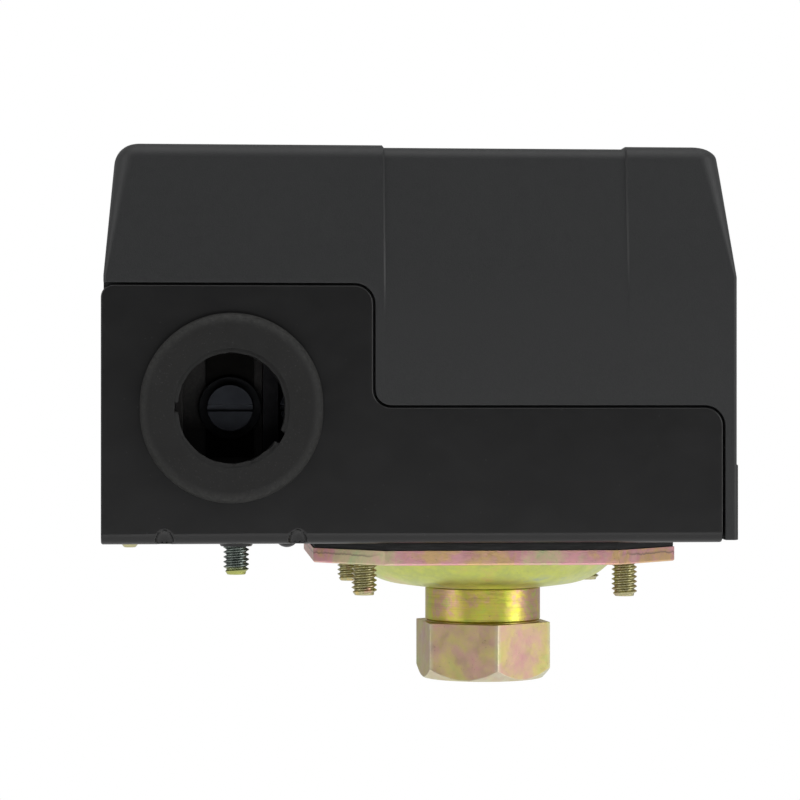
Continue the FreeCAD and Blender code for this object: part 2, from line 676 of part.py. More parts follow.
def port_fitting():
    """Hexagon with a turned neck and a spigot staked into the dish; pipe thread below."""
    hexagon_bar = hexagon("port_hexagon", ("0", "0"), ("0", "hex_height"), "hex_flats", "hex_turn")
    corner = "hex_flats / sqrt(3)"
    facing = taper("port_chamfer", ("0", "0"), ("0", "hex_chamfer"),
                   (f"{corner} - hex_chamfer_cut", f"{corner} + snug"))
    above = rod("port_above_chamfer", ("0", "0"), ("hex_chamfer", "hex_height"), f"{corner} + beyond")
    faced = common("port_faced", hexagon_bar, fuse("port_envelope", facing, above))
    neck = rod("port_neck", ("0", "0"), ("hex_height - 1", "neck_top"), "neck_radius")
    spigot = rod("port_spigot", ("0", "0"), ("crown_bottom - beyond", "spigot_top"), "spigot_radius")
    dish_room = doc.addObject("Part::Sphere", "port_dish_room")
    bind(dish_room, "Radius", "crown_radius + fit")
    place(dish_room, ("0", "0", "crown_bottom + crown_radius"))
    seated = cut("port_neck_seated", neck, dish_room)
    outside = fuse("port_outside", faced, seated, spigot)
    bore = rod("port_thread", ("0", "0"), ("-1", "port_depth"), "port_bore")
    drill = taper("port_drill_end", ("0", "0"), ("port_depth", "port_depth + 2"),
                  ("port_bore", "port_passage"))
    passage = rod("port_passage_hole", ("0", "0"), ("port_depth", "spigot_top + 1"), "port_passage")
    node("port_fitting", cut("port_bored", outside, bore, drill, passage))


def screw(name, across, shank, head, radii, along="z"):
    """A headed screw with a chamfered point; shank and head are (start, end) along the axis."""
    tip, under = shank
    point = taper(name + "_point", across, (tip, f"{tip} + screw_point"),
                  (f"{radii[0]} - screw_point_cut", radii[0]), along)
    stem = rod(name + "_stem", across, (f"{tip} + screw_point", under), radii[0], along)
    top = rod(name + "_head", across, head, radii[1], along)
    return fuse(name, point, stem, top)


def head_slot(name, across, top):
    """The screwdriver slot, along X, in a head that ends at top."""
    x, y = across
    reach = "(screw_head_radius + beyond)"
    return box(name, (f"{x} - {reach}", f"{x} + {reach}"),
               (f"{y} - slot_half_width", f"{y} + slot_half_width"),
               (f"{top} - slot_deep", f"{top} + beyond"))


def flange_screws():
    """Four machine screws from inside the box through frame, base and diaphragm into the flange."""
    seat = "base_low + 2 * steel"
    screws = []
    for index, (across, side) in enumerate((("-", "-"), ("", "-"), ("-", ""), ("", ""))):
        where = (across + "screw_pitch_half", side + "screw_pitch_half")
        blank = screw(f"flange_screw_{index}", where, ("flange_screw_end", seat),
                      (seat, f"{seat} + screw_head_height"), ("screw_radius", "screw_head_radius"))
        slot = head_slot(f"flange_screw_slot_{index}", where, f"{seat} + screw_head_height")
        screws.append(cut(f"flange_screw_slotted_{index}", blank, slot))
    group("flange_screws", screws)


def piston():
    """Disc on the diaphragm with a domed stem that lifts the lever."""
    body = doc.addObject("PartDesign::Body", "piston_body")
    profile = sketch(body, "XZ_Plane", "piston_profile")
    rim = "base_low + piston_rim"
    under = "base_low + snug"
    outline(profile, [("0", under), ("piston_radius", under), ("piston_radius", rim),
                      ("piston_stem", rim), ("piston_stem", "piston_top - 1.1"),
                      ("piston_stem - 1.4", "piston_top - 0.35"), ("0", "piston_top")])
    revolve(body, "Revolution", profile, "V_Axis")
    node("piston", body)


# ---------------------------------------------------------------- mechanism
PIVOT = ("pivot_place", "pivot_height")
TOGGLE_WIDTH = ("toggle_y - toggle_tab_half", "toggle_y + toggle_tab_half")


def on_side(side, near, far):
    """A span of Y between two distances from the middle, on the front or on the rear side."""
    return (f"-({far})", f"-({near})") if side == "front" else (near, far)


def mechanism_frame():
    """Steel bracket clamped by the flange screws: floor, two cheeks and the toggle tab."""
    floor = ("base_low + steel", "base_low + 2 * steel")
    plate = box("frame_floor", ("frame_left", "frame_right"), ("-frame_half", "frame_half"), floor)
    cheeks = []
    for side in ("front", "rear"):
        cheeks.append(box(f"{side}_cheek", ("cheek_left", "frame_right"),
                          on_side(side, "cheek_in", "cheek_in + steel"), (floor[0], "cheek_top")))
    tab = box("toggle_post", ("frame_left", "frame_left + toggle_sheet"), TOGGLE_WIDTH,
              (floor[0], "toggle_height + 2.4"))
    holes = [rod("frame_piston_hole", ("0", "0"), ("base_low", "cheek_top"), "piston_window"),
             rod("frame_pin_hole", PIVOT, ("-frame_half", "frame_half"), "pin_radius + snug", "y"),
             rod("frame_stud_hole", ("stud_place", "0"), ("base_low", "cheek_top"), "stud_foot + snug"),
             rod("frame_post_hole", ("post_place", "0"), ("base_low", "cheek_top"), "post_foot + snug")]
    for index, (across, side) in enumerate((("-", "-"), ("", "-"), ("-", ""), ("", ""))):
        where = (across + "screw_pitch_half", side + "screw_pitch_half")
        holes.append(rod(f"frame_screw_hole_{index}", where, ("base_low", floor[1] + " + 1"), "screw_hole"))
    node("mechanism_frame", cut("frame_drilled", fuse("frame_blank", plate, tab, *cheeks), *holes))


def pivot():
    """Pin through both cheeks and the lever, held by a retaining ring at each end."""
    groove = "pin_half - ring_groove"
    pin = rod("pin_blank", PIVOT, ("-pin_half", "pin_half"), "pin_radius", "y")
    rings, grooves = [], []
    for side in ("front", "rear"):
        span = on_side(side, groove, f"{groove} + ring_groove_width")
        outside = rod(f"{side}_groove_out", PIVOT, span, "pin_radius + beyond", "y")
        core = rod(f"{side}_groove_core", PIVOT, span, "pin_radius - ring_groove_depth", "y")
        grooves.append(cut(f"{side}_groove", outside, core))
        thin = on_side(side, f"{groove} + 0.05", f"{groove} + ring_groove_width - 0.05")
        ring = rod(f"{side}_ring_disc", PIVOT, thin, "pin_radius + ring_proud", "y")
        eye = rod(f"{side}_ring_eye", PIVOT, span, "pin_radius - ring_groove_depth + fit", "y")
        mouth = box(f"{side}_ring_mouth", ("pivot_place - ring_mouth", "pivot_place + ring_mouth"), span,
                    ("pivot_height - 6", "pivot_height"))
        rings.append(cut(f"{side}_ring", ring, eye, mouth))
    node("pivot_pin", cut("pin_grooved", pin, *grooves))
    group("pin_rings", rings)


def main_lever():
    """Channel-shaped lever on the pivot pin, forked round the cover post."""
    plate = box("lever_plate", ("lever_left", "lever_right"), ("-lever_half", "lever_half"),
                ("lever_low", "lever_top"))
    pieces = [plate]
    for side in ("front", "rear"):
        pieces.append(box(f"lever_{side}_flange", ("lever_flange", "lever_right"),
                          on_side(side, "lever_half - steel", "lever_half"),
                          ("lever_flange_low", "lever_low")))
    pieces.append(box("lever_toggle_tab", ("toggle_lever - toggle_sheet", "toggle_lever"), TOGGLE_WIDTH,
                      ("toggle_height - 2", "lever_low")))
    through = ("lever_low - beyond", "lever_top + beyond")
    openings = [box("lever_slot", ("post_place - 5", "post_place + 5"), ("-slot_half", "slot_half"), through),
                rod("lever_stud_hole", ("stud_place", "0"), through, "stud_window"),
                rod("lever_pin_hole", PIVOT, ("-lever_half - beyond", "lever_half + beyond"),
                    "pin_radius + running_gap", "y")]
    node("main_lever", cut("lever_cut", fuse("lever_blank", *pieces), *openings))


def toggle_spring():
    """Tension spring between the frame's tab and the lever's tab."""
    ends = (size("frame_left + toggle_sheet + toggle_end_gap"),
            size("toggle_lever - toggle_sheet - toggle_end_gap"))
    node("toggle_spring", coil("toggle_coil_spring", (size("toggle_y"), size("toggle_height")), ends,
                               size("toggle_coil"), size("fine_wire"), size("toggle_turns"), "x"))


def range_adjuster():
    """Stud, lower seat, range spring, upper seat and the nut that sets the cut-out pressure."""
    where = ("stud_place", "0")
    floor_top = "base_low + 2 * steel"
    tip_low = "stud_top - stud_tip"
    stud = rod("stud_shank", where, (floor_top, tip_low), "stud_radius")
    tip = taper("stud_point", where, (tip_low, "stud_top"), ("stud_radius", "stud_radius - stud_tip"))
    collar = rod("stud_collar", where, (floor_top, f"{floor_top} + 1.6"), "stud_radius + 1.6")
    foot = rod("stud_staked_foot", where, ("base_low + steel", floor_top), "stud_foot")
    node("range_stud", fuse("stud_whole", stud, tip, collar, foot))

    guide = "range_coil - range_wire - seat_guide"
    cup = rod("low_seat_disc", where, ("lever_top", "lever_top + 1.4"), "seat_radius")
    spigot = rod("low_seat_spigot", where, ("lever_top", "lever_top + 3.4"), guide)
    clear = rod("low_seat_hole", where, ("lever_top - 1", "lever_top + 5"), "stud_window")
    node("lower_spring_seat", cut("low_seat", fuse("low_seat_blank", cup, spigot), clear))

    ends = (size("range_low"), size("range_high"))
    node("range_spring", coil("range_coil_spring", (size("stud_place"), 0), ends,
                              size("range_coil"), size("range_wire"), size("range_turns")))

    disc = rod("high_seat_disc", where, ("range_high + 0.2", "seat_top"), "seat_radius")
    plug = rod("high_seat_guide", where, ("range_high - 3", "range_high + 0.3"), guide)
    eye = rod("high_seat_hole", where, ("range_high - 4", "seat_top + 1"), "stud_radius + running_gap")
    node("upper_spring_seat", cut("high_seat", fuse("high_seat_blank", disc, plug), eye))

    low, high = "seat_top + running_gap", "seat_top + nut_height"
    crown_low = f"{high} - nut_crown_height"
    blank = hexagon("nut_blank", where, (low, high), "nut_flats")
    crown = fuse("nut_envelope", rod("nut_body", where, (low, crown_low), "nut_flats"),
                 taper("nut_crown", where, (crown_low, high), ("nut_flats * 0.58", "nut_flats * 0.5")))
    thread = rod("nut_thread", where, ("seat_top - 1", f"{high} + 1"), "stud_radius + running_gap")
    node("range_nut", cut("nut_threaded", common("nut_faced", blank, crown), thread))


# ---------------------------------------------------------------- contact block
def poles():
    """The X position of each pole's middle: the first pole is in line with the cable entries."""
    return ("entry_place", "entry_place + pole_pitch")


def contact_block():
    """Moulded block with its foot, ears for the rivets, barrier ribs and guide holes."""
    floor = "base_low + steel"
    low_part = (floor, "foot_top")
    pieces = [box("block_tower", ("block_left", "block_right"), ("-block_half", "block_half"),
                  (floor, "block_top")),
              box("block_foot", ("foot_left", "block_left + 1"), ("-foot_half", "foot_half"), low_part),
              box("block_ears", ("ear_left", "ear_right"), ("-ear_half", "ear_half"), low_part)]
    edges = ("block_left", "entry_place + pole_pitch / 2 - rib_width / 2", "block_right")
    for index, left in enumerate(edges):
        for side in ("front", "rear"):
            pieces.append(box(f"rib_{index}_{side}", (left, f"{left} + rib_width"),
                              on_side(side, "rib_inner", "rib_half"), ("rib_low", "rib_top")))
    holes = []
    for index, pole in enumerate(poles()):
        holes.append(rod(f"guide_hole_{index}", (pole, "0"), ("peg_hole_low", "block_top + 1"),
                         "peg_radius + running_gap"))
        for side in ("front", "rear"):
            holes.append(rod(f"tap_{index}_{side}", (pole, "entry_height"),
                             on_side(side, "terminal_end", "20"), "terminal_shank + snug", "y"))
    through = (floor + " - beyond", "foot_top + beyond")
    for side in ("-", ""):
        holes.append(rod(f"rivet_hole{side}", ("rivet_x", side + "rivet_y"), through, "rivet_radius + fit"))
        holes.append(rod(f"block_hole{side}", ("block_screw_x", side + "block_screw_y"), through,
                         "block_screw_radius + fit"))
    node("contact_block", cut("block_drilled", fuse("block_blank", *pieces), *holes))


def block_fasteners():
    """Screws at the foot, rivets at the ears and the ground screw beside the front entry."""
    screws, rivets = [], []
    for side in ("-", ""):
        where = ("block_screw_x", side + "block_screw_y")
        screws.append(screw(f"block_screw{side}", where, ("block_screw_end", "foot_top"),
                            ("foot_top", "foot_top + block_screw_head"),
                            ("block_screw_radius", "block_screw_radius + 0.25")))
        spot = ("rivet_x", side + "rivet_y")
        top = "foot_top + yoke_sheet"
        formed = taper(f"rivet_formed{side}", spot, ("rivet_low", "base_low"),
                       ("rivet_head * 0.55", "rivet_head"))
        shank = rod(f"rivet_shank{side}", spot, ("base_low", top), "rivet_radius")
        head = taper(f"rivet_factory{side}", spot, (top, f"{top} + 0.9"),
                     ("rivet_head + 0.6", "rivet_head"))
        rivets.append(fuse(f"rivet{side}", formed, shank, head))
    group("block_screws", screws)
    group("block_rivets", rivets)
    floor = "base_low + steel"
    blank = screw("ground_screw_blank", ("ground_x", "ground_y"), ("ground_end", floor),
                  (floor, f"{floor} + screw_head_height"), ("screw_radius", "screw_head_radius - 0.6"))
    slot = head_slot("ground_screw_slot", ("ground_x", "ground_y"), f"{floor} + screw_head_height")
    node("ground_screw", cut("ground_screw_slotted", blank, slot))


def terminals():
    """Straps, contact buttons, wire clamps and screws: line side at the rear, load side in front."""
    straps = {"front": [], "rear": []}
    buttons, clamps, screws = [], [], []
    for index, pole in enumerate(poles()):
        for side in ("front", "rear"):
            tag = f"{side}_{index}"
            straps[side].append(strap(tag, side, pole))
            sign = "-" if side == "front" else ""
            buttons.append(rod("button_" + tag, (pole, sign + "contact_y"),
                               ("block_top + strap", "block_top + strap + contact_height"), "contact_radius"))
            where = (pole, "entry_height")
            skin, under = "block_half + strap", "block_half + strap + clamp"
            disc = rod("clamp_disc_" + tag, where, on_side(side, skin, under), "clamp_radius", "y")
            hole = rod("clamp_hole_" + tag, where, on_side(side, "block_half", "block_half + 6"),
                       "terminal_shank + 0.1", "y")
            clamps.append(cut("clamp_" + tag, disc, hole))
            screws.append(terminal_screw(tag, side, where, under))
    group("load_terminals", straps["front"])
    group("line_terminals", straps["rear"])
    group("fixed_contacts", buttons)
    group("wire_clamps", clamps)
    group("terminal_screws", screws)


def strap(tag, side, pole):
    """An angled strap from the clamp up to the contact, tapped for the terminal screw."""
    wide = (f"{pole} - strap_half", f"{pole} + strap_half")
    skin = "block_half + strap"
    leg = box("strap_leg_" + tag, wide, on_side(side, "block_half", skin), ("strap_low", "block_top + strap"))
    top = box("strap_top_" + tag, wide, on_side(side, "strap_inner", skin),
              ("block_top", "block_top + strap"))
    tap = rod("strap_tap_" + tag, (pole, "entry_height"), on_side(side, "block_half - 1", "block_half + 3"),
              "terminal_shank + snug", "y")
    return cut("strap_" + tag, fuse("strap_blank_" + tag, leg, top), tap)


def terminal_screw(tag, side, where, under):
    """A slotted terminal screw whose head lies on the wire clamp."""
    pole, height = where
    top = f"{under} + terminal_head_height"
    stem = rod("terminal_stem_" + tag, where, on_side(side, "terminal_end + 0.5", under),
               "terminal_shank", "y")
    head = rod("terminal_head_" + tag, where, on_side(side, under, top), "terminal_head", "y")
    slot = box("terminal_slot_" + tag, (f"{pole} - 5", f"{pole} + 5"),
               on_side(side, f"{top} - 1", f"{top} + beyond"),
               (f"{height} - slot_half_width", f"{height} + slot_half_width"))
    return cut("terminal_screw_" + tag, fuse("terminal_blank_" + tag, stem, head), slot)


def contact_carrier():
    """Moulded bar over the block: a window for each bridge, guide pegs below, a leg to the lever."""
    bar = box("carrier_bar", ("carrier_left", "carrier_right"), ("-carrier_half", "carrier_half"),
              ("carrier_low", "carrier_top"))
    leg = box("carrier_leg_bar", ("carrier_leg", "carrier_right"), ("-carrier_half", "carrier_half"),
              ("carrier_leg_low", "carrier_low + 1"))
    pegs = [rod(f"carrier_peg_{index}", (pole, "0"), ("peg_low", "carrier_low + 1"), "peg_radius")
            for index, pole in enumerate(poles())]
    windows = [box(f"carrier_window_{index}", (f"{pole} - window_half", f"{pole} + window_half"),
                   ("-10", "10"), ("window_low", "window_top")) for index, pole in enumerate(poles())]
    node("contact_carrier", cut("carrier_cut", fuse("carrier_blank", bar, leg, *pegs), *windows))


def moving_contacts():
    """A bridge bar, two contact buttons and a small spring for each pole."""
    bridges, buttons, springs = [], [], []
    low = "block_top + strap + 2 * contact_height + contact_gap"
    top = size(low) + size("bridge")
    for index, pole in enumerate(poles()):
        wide = (f"{pole} - bridge_width_half", f"{pole} + bridge_width_half")
        bridges.append(box(f"bridge_{index}", wide, ("-bridge_half", "bridge_half"),
                           (low, f"{low} + bridge")))
        for side in ("-", ""):
            buttons.append(rod(f"moving_button_{index}{side}", (pole, side + "contact_y"),
                               (f"{low} - contact_height", low), "contact_radius"))
        ends = (top + size("running_gap"), size("window_top - running_gap"))
        springs.append(coil(f"bridge_spring_{index}", (size(pole), 0), ends,
                            size("bridge_coil"), size("fine_wire"), size("bridge_turns")))
    group("contact_bridges", bridges)
    group("moving_contacts", buttons)
    group("bridge_springs", springs)


def carrier_yoke():
    """Steel strap over the carrier, riveted to the block's ears, and the carrier's return spring."""
    inside, outside = "yoke_in", "yoke_in + yoke_sheet"
    wide = ("yoke_left", "yoke_right")
    top = "yoke_under + yoke_sheet"
    pieces = [box("yoke_bridge", wide, (f"-({outside})", outside), ("yoke_under", top))]
    holes = []
    for side, sign in (("front", "-"), ("rear", "")):
        pieces.append(box(f"yoke_{side}_leg", wide, on_side(side, inside, outside), ("foot_top", top)))
        pieces.append(box(f"yoke_{side}_foot", ("yoke_left", "ear_right"),
                          on_side(side, inside, "ear_half - 0.3"), ("foot_top", "foot_top + yoke_sheet")))
        holes.append(rod(f"yoke_{side}_hole", ("rivet_x", sign + "rivet_y"),
                         ("foot_top - 1", "foot_top + 3"), "rivet_radius + fit"))
    node("carrier_yoke", cut("yoke_drilled", fuse("yoke_blank", *pieces), *holes))
    middle = size("(yoke_left + yoke_right) / 2")
    ends = (size("carrier_top + 2 * running_gap"), size("yoke_under - 2 * running_gap"))
    node("carrier_spring", coil("carrier_coil", (middle, 0), ends,
                                size("return_coil"), size("return_wire"), size("return_turns")))


# ---------------------------------------------------------------- cover
def cover_level(item, lean, corner, inset):
    """One level of the cover's outline; lean is how far the left and the other walls have come in."""
    left, others = lean
    return outline(item, round_corners(
        (f"(cover_left + {left} + {inset})", f"(cover_right - {others} - {inset})"),
        (f"(-cover_half_depth + {others} + {inset})", f"(cover_half_depth - {others} - {inset})"), corner))


def cover():
    """Moulded shell: upright below, leaning in above, with the base walls' outline cut out."""
    body = doc.addObject("PartDesign::Body", "cover_body")
    upright, leaned = ("0", "0"), ("lean_left", "lean_right")
    foot = cover_level(sketch(body, "XY_Plane", "cover_foot", "cover_low"), upright, "corner_low", "0")
    extrude(body, "Pad", foot, "cover_break - cover_low")
    waist = cover_level(sketch(body, "XY_Plane", "cover_waist", "cover_break"), upright, "corner_low", "0")
    crown = cover_level(sketch(body, "XY_Plane", "cover_crown", "cover_top"), leaned, "corner_top", "0")
    loft(body, "AdditiveLoft", waist, crown)
    top = size("cover_top")
    soften(body, "edge_round", lambda edge: edge.BoundBox.ZMin > top - 1e-4, "cover_top_round")

    inner = "cover_wall"
    hollow = cover_level(sketch(body, "XY_Plane", "cover_hollow", "cover_break"), upright, "0.5", inner)
    pocket(body, hollow, "cover_break - cover_low + 1")
    neck = cover_level(sketch(body, "XY_Plane", "cover_neck", "cover_break - 0.01"), upright, "0.5", inner)
    ceiling = sketch(body, "XY_Plane", "cover_roof", "cover_top - cover_wall - 0.3")
    roof = cover_level(ceiling, leaned, "1.6", inner)
    loft(body, "SubtractiveLoft", neck, roof)
    sunk = sunk_panel(sketch(body, "YZ_Plane", "cover_panel", "-panel_half"))
    pocket(body, sunk, "2 * panel_half", flip=True)
    for side, flip in (("front", False), ("rear", True)):
        start = "cover_half_depth + 1" if side == "front" else "-cover_half_depth - 1"
        for depth, left, stop in (("skin", "base_left - 2", "base_half_depth - steel - inner_lip_play"),
                                  ("deep", "cover_left + cover_wall",
                                   "cover_half_depth - cover_wall - 0.2")):
            profile = wall_cutout(sketch(body, "XZ_Plane", f"cutout_{side}_{depth}", start), left)
            pocket(body, profile, f"cover_half_depth + 1 - ({stop})", flip=flip)
    node("cover", cover_details(body))


def wall_cutout(item, left, gap="cut_gap"):
    """The outline of a base wall with a gap round it, open to the left and below."""
    right, step = f"(base_right + {gap})", f"(tall_right + {gap})"
    low, tall = f"(low_top + {gap})", f"(tall_top + {gap})"
    corner, inner = f"(wall_corner + {gap})", f"(wall_inner_corner - {gap})"
    return outline(item, [
        (left, "base_low - 1"), (right, "base_low - 1"),
        (right, f"{low} - {corner}", corner), (f"{right} - {corner}", low),
        (f"{step} + {inner}", low, "-" + inner), (step, f"{low} + {inner}"),
        (step, f"{tall} - {corner}", corner), (f"{step} - {corner}", tall), (left, tall)])


def inner_lips():
    """The lips inside the front and rear walls that lie behind the edges of the base walls."""
    body = doc.addObject("PartDesign::Body", "lip_body")
    start, through = "-base_half_depth", "2 * base_half_depth"
    wide = wall_cutout(sketch(body, "XZ_Plane", "lip_outside", start), "base_left", "(inner_lip_reach)")
    extrude(body, "Pad", wide, through)
    narrow = wall_cutout(sketch(body, "XZ_Plane", "lip_inside", start), "base_left - 1", "(-inner_lip_reach)")
    pocket(body, narrow, through, flip=True)
    face = "base_half_depth - steel - inner_lip_play"
    x, z = ("cover_left + 0.5", "cover_right - 0.5"), ("base_low + steel + bend_radius", "cover_break + 1")
    limits = [box(f"{side}_lip_limits", x, on_side(side, f"{face} - inner_lip", face), z)
              for side in ("front", "rear")]
    return common("cover_lips", body, fuse("lip_limits", *limits))


def sunk_panel(item):
    """What the centre panel takes off: front, top and rear, running out towards the lower edge."""
    lean = "atan(lean_right / (cover_top - cover_break))"
    turn = "(edge_round - panel_sink)"
    middle_z = "(cover_top - edge_round)"
    middle_y = f"(cover_half_depth - (edge_round + sin({lean}) * ({middle_z} - cover_break)) / cos({lean}))"
    waist = "(cover_half_depth - panel_sink * (cover_break - panel_end) / (cover_top - panel_end))"
    shoulder = (f"({middle_y} + cos({lean}) * {turn})", f"{middle_z} + sin({lean}) * {turn}")
    outside = "(cover_half_depth + 2)"
    return outline(item, [
        (f"-{outside}", "panel_end"), ("-cover_half_depth", "panel_end"), (f"-{waist}", "cover_break"),
        (f"-{shoulder[0]}", shoulder[1], f"-{turn}"), (f"-{middle_y}", "cover_top - panel_sink"),
        (middle_y, "cover_top - panel_sink", f"-{turn}"), shoulder, (waist, "cover_break"),
        ("cover_half_depth", "panel_end"), (outside, "panel_end"), (outside, "cover_top + 1"),
        (f"-{outside}", "cover_top + 1")])


def cover_details(body):
    """The inner lips, the low band, the gap under the left wall, and the screw boss with its well."""
    reach = "cover_half_depth + 1"
    left_foot = box("left_wall_foot", ("cover_left - 1", "cover_left + cover_wall + 1"),
                    (f"-({reach})", reach), ("base_low - 2", "base_low + steel + cover_lift_gap"))
    band = box("low_band", ("cover_right - 0.5", "cover_right + lip_proud"),
               ("-cover_half_depth + 0.6", "cover_half_depth - 0.6"), ("cover_low", "lip_height"))
    where = ("post_place", "0")
    boss = rod("cover_boss", where, ("boss_low", "cover_top - 1"), "boss_radius")
    well = rod("cover_well", where, ("well_floor", "cover_top + 1"), "well_radius")
    hole = rod("cover_screw_hole", where, ("boss_low - 1", "well_floor + 1"), "screw_radius + 0.15")
    whole = fuse("cover_with_boss", body, inner_lips(), boss, band)
    return cut("cover_finished", whole, left_foot, well, hole)


def cover_screw():
    """Slotted screw in the well that holds the cover on its post."""
    where = ("post_place", "0")
    top = "well_floor + 2.8"
    blank = screw("cover_screw_blank", where, ("cover_screw_end", "well_floor"), ("well_floor", top),
                  ("screw_radius", "screw_head_radius"))
    slot = head_slot("cover_screw_slot", where, top)
    node("cover_screw", cut("cover_screw_slotted", blank, slot))


def cover_post():
    """Hexagonal post staked into the frame, tapped for the cover screw."""
    where = ("post_place", "0")
    floor_top = "base_low + 2 * steel"
    bar = hexagon("post_bar", where, (floor_top, "post_top"), "post_flats")
    foot = rod("post_staked_foot", where, ("base_low + steel", floor_top), "post_foot")
    tap = rod("post_tapped_hole", where, ("post_top - post_tap_depth", "post_top + 1"), "post_tap")
    node("cover_post", cut("post_tapped", fuse("post_blank", bar, foot), tap))


# ---------------------------------------------------------------- build and write
def check(items):
    """Stops on a failed object or a sub-part without a sound shape."""
    failed = [item.Name for item in doc.Objects if {"Invalid", "Error"} & set(item.State)]
    unsound = [item.Label for item in items if item.Shape.isNull() or not item.Shape.isValid()]
    if failed or unsound:
        raise RuntimeError(f"failed: {failed}; unsound: {unsound}")


def main():
    base_plate()
    grommet("front_grommet", True)
    grommet("rear_grommet", False)
    diaphragm()
    pressure_flange()
    port_fitting()
    flange_screws()
    piston()
    mechanism_frame()
    pivot()
    main_lever()
    toggle_spring()
    range_adjuster()
    contact_block()
    block_fasteners()
    terminals()
    contact_carrier()
    moving_contacts()
    carrier_yoke()
    cover()
    cover_screw()
    cover_post()
    doc.recompute()
    check(nodes)
    os.makedirs("parts", exist_ok=True)
    for item in nodes:
        item.Shape.exportStep(f"parts/{item.Label}.step")


main()
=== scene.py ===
"""Looks of the diaphragm pressure switch: moulded cover, painted base, grommets, chromated flange and port.

Everything is in metres in the CAD frame: origin at the centre of the port's end face, +Z up, -Y front.
"""

import json
import math
import random

import bmesh
import bpy
from mathutils import Matrix, Vector


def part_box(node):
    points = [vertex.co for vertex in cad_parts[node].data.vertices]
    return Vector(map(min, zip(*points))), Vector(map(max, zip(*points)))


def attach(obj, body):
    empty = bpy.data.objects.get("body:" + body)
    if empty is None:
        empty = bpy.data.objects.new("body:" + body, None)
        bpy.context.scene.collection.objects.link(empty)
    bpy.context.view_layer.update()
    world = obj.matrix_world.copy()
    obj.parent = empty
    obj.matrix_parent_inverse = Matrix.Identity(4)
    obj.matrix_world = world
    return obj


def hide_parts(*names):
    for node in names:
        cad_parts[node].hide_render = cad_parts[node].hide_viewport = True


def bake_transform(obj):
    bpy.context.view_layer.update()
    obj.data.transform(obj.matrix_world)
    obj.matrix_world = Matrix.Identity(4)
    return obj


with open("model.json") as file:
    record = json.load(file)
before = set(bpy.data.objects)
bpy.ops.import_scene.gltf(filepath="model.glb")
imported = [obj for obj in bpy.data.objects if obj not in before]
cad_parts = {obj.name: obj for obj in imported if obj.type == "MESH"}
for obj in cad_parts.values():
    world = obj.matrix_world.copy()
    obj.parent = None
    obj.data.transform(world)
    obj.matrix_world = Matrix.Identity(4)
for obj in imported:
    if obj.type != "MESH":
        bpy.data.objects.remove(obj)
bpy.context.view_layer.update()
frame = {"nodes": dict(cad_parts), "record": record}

MM = 0.001
NODES = frame["nodes"]
BODY_OF = {node: body for body, members in frame["record"]["behaviour"]["bodies"].items() for node in members}
SLOT_OF = {part["node"]: part["material_slot"] for part in frame["record"]["subparts"]}


# ------------------------------------------------------------------ places read from the frame
def middle(node):
    low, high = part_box(node)
    return (low + high) / 2


SNUG = 0.02 * MM                     # how far one surface stays behind another that it touches
DIAPHRAGM_LOW, DIAPHRAGM_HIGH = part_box("diaphragm")
BASE_UNDER = DIAPHRAGM_HIGH.z - 0.2 * MM
BASE_LOW, BASE_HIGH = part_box("base_plate")
COVER_LOW, COVER_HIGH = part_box("cover")
ENTRY = middle("front_grommet")
FRONT, REAR = BASE_LOW.y, BASE_HIGH.y

# The base's sheet and the outline of its walls: low to the right of the step, tall to the left.
SHEET = 1.5 * MM
BEND, BEND_INSIDE = 1.8 * MM, 0.7 * MM
LOW_TOP, TALL_TOP, STEP_X = 46.45 * MM, BASE_HIGH.z, -21.1 * MM
WALL_ROUND, STEP_ROUND = 3.0 * MM, 2.9 * MM
ENTRY_HOLE = 11.15 * MM


# ------------------------------------------------------------------ outlines
def rounded(corners, steps=6, closed=True):
    """A polyline from corners (u, v) or (u, v, radius), with an arc at each corner that has a radius."""
    points = []
    count = len(corners)
    for index, corner in enumerate(corners):
        here = Vector(corner[:2])
        ends = not closed and index in (0, count - 1)
        if len(corner) < 3 or corner[2] <= 0 or ends:
            points.append(here)
            continue
        before = (Vector(corners[index - 1][:2]) - here).normalized()
        after = (Vector(corners[(index + 1) % count][:2]) - here).normalized()
        half = math.acos(max(-1, min(1, before.dot(after)))) / 2
        centre = here + (before + after).normalized() * corner[2] / math.sin(half)
        start = here + before * corner[2] / math.tan(half) - centre
        stop = here + after * corner[2] / math.tan(half) - centre
        turn = start.angle_signed(stop)
        for step in range(steps + 1):
            angle = -turn * step / steps
            points.append(centre + Vector((start.x * math.cos(angle) - start.y * math.sin(angle),
                                           start.x * math.sin(angle) + start.y * math.cos(angle))))
    return points


def circle_points(u, v, radius, count=64):
    return [Vector((u + radius * math.cos(math.tau * k / count), v + radius * math.sin(math.tau * k / count)))
            for k in range(count)]


# ------------------------------------------------------------------ meshes
LAY_X = Matrix(((0, 0, 1, 0), (1, 0, 0, 0), (0, 1, 0, 0), (0, 0, 0, 1)))    # outline in YZ, pushed along X
LAY_Y = Matrix(((1, 0, 0, 0), (0, 0, -1, 0), (0, 1, 0, 0), (0, 0, 0, 1)))   # outline in XZ, pushed along -Y
LAY_Z = Matrix.Identity(4)


def prism(outline, low, high, lay=LAY_Z):
    """A closed outline pushed from low to high."""
    bm = bmesh.new()
    rings = [[bm.verts.new((p.x, p.y, level)) for p in outline] for level in (low, high)]
    count = len(outline)
    bm.faces.new(list(reversed(rings[0])))
    bm.faces.new(rings[1])
    for k in range(count):
        bm.faces.new((rings[0][k], rings[0][(k + 1) % count], rings[1][(k + 1) % count], rings[1][k]))
    bm.transform(lay)
    bmesh.ops.recalc_face_normals(bm, faces=bm.faces)
    return bm


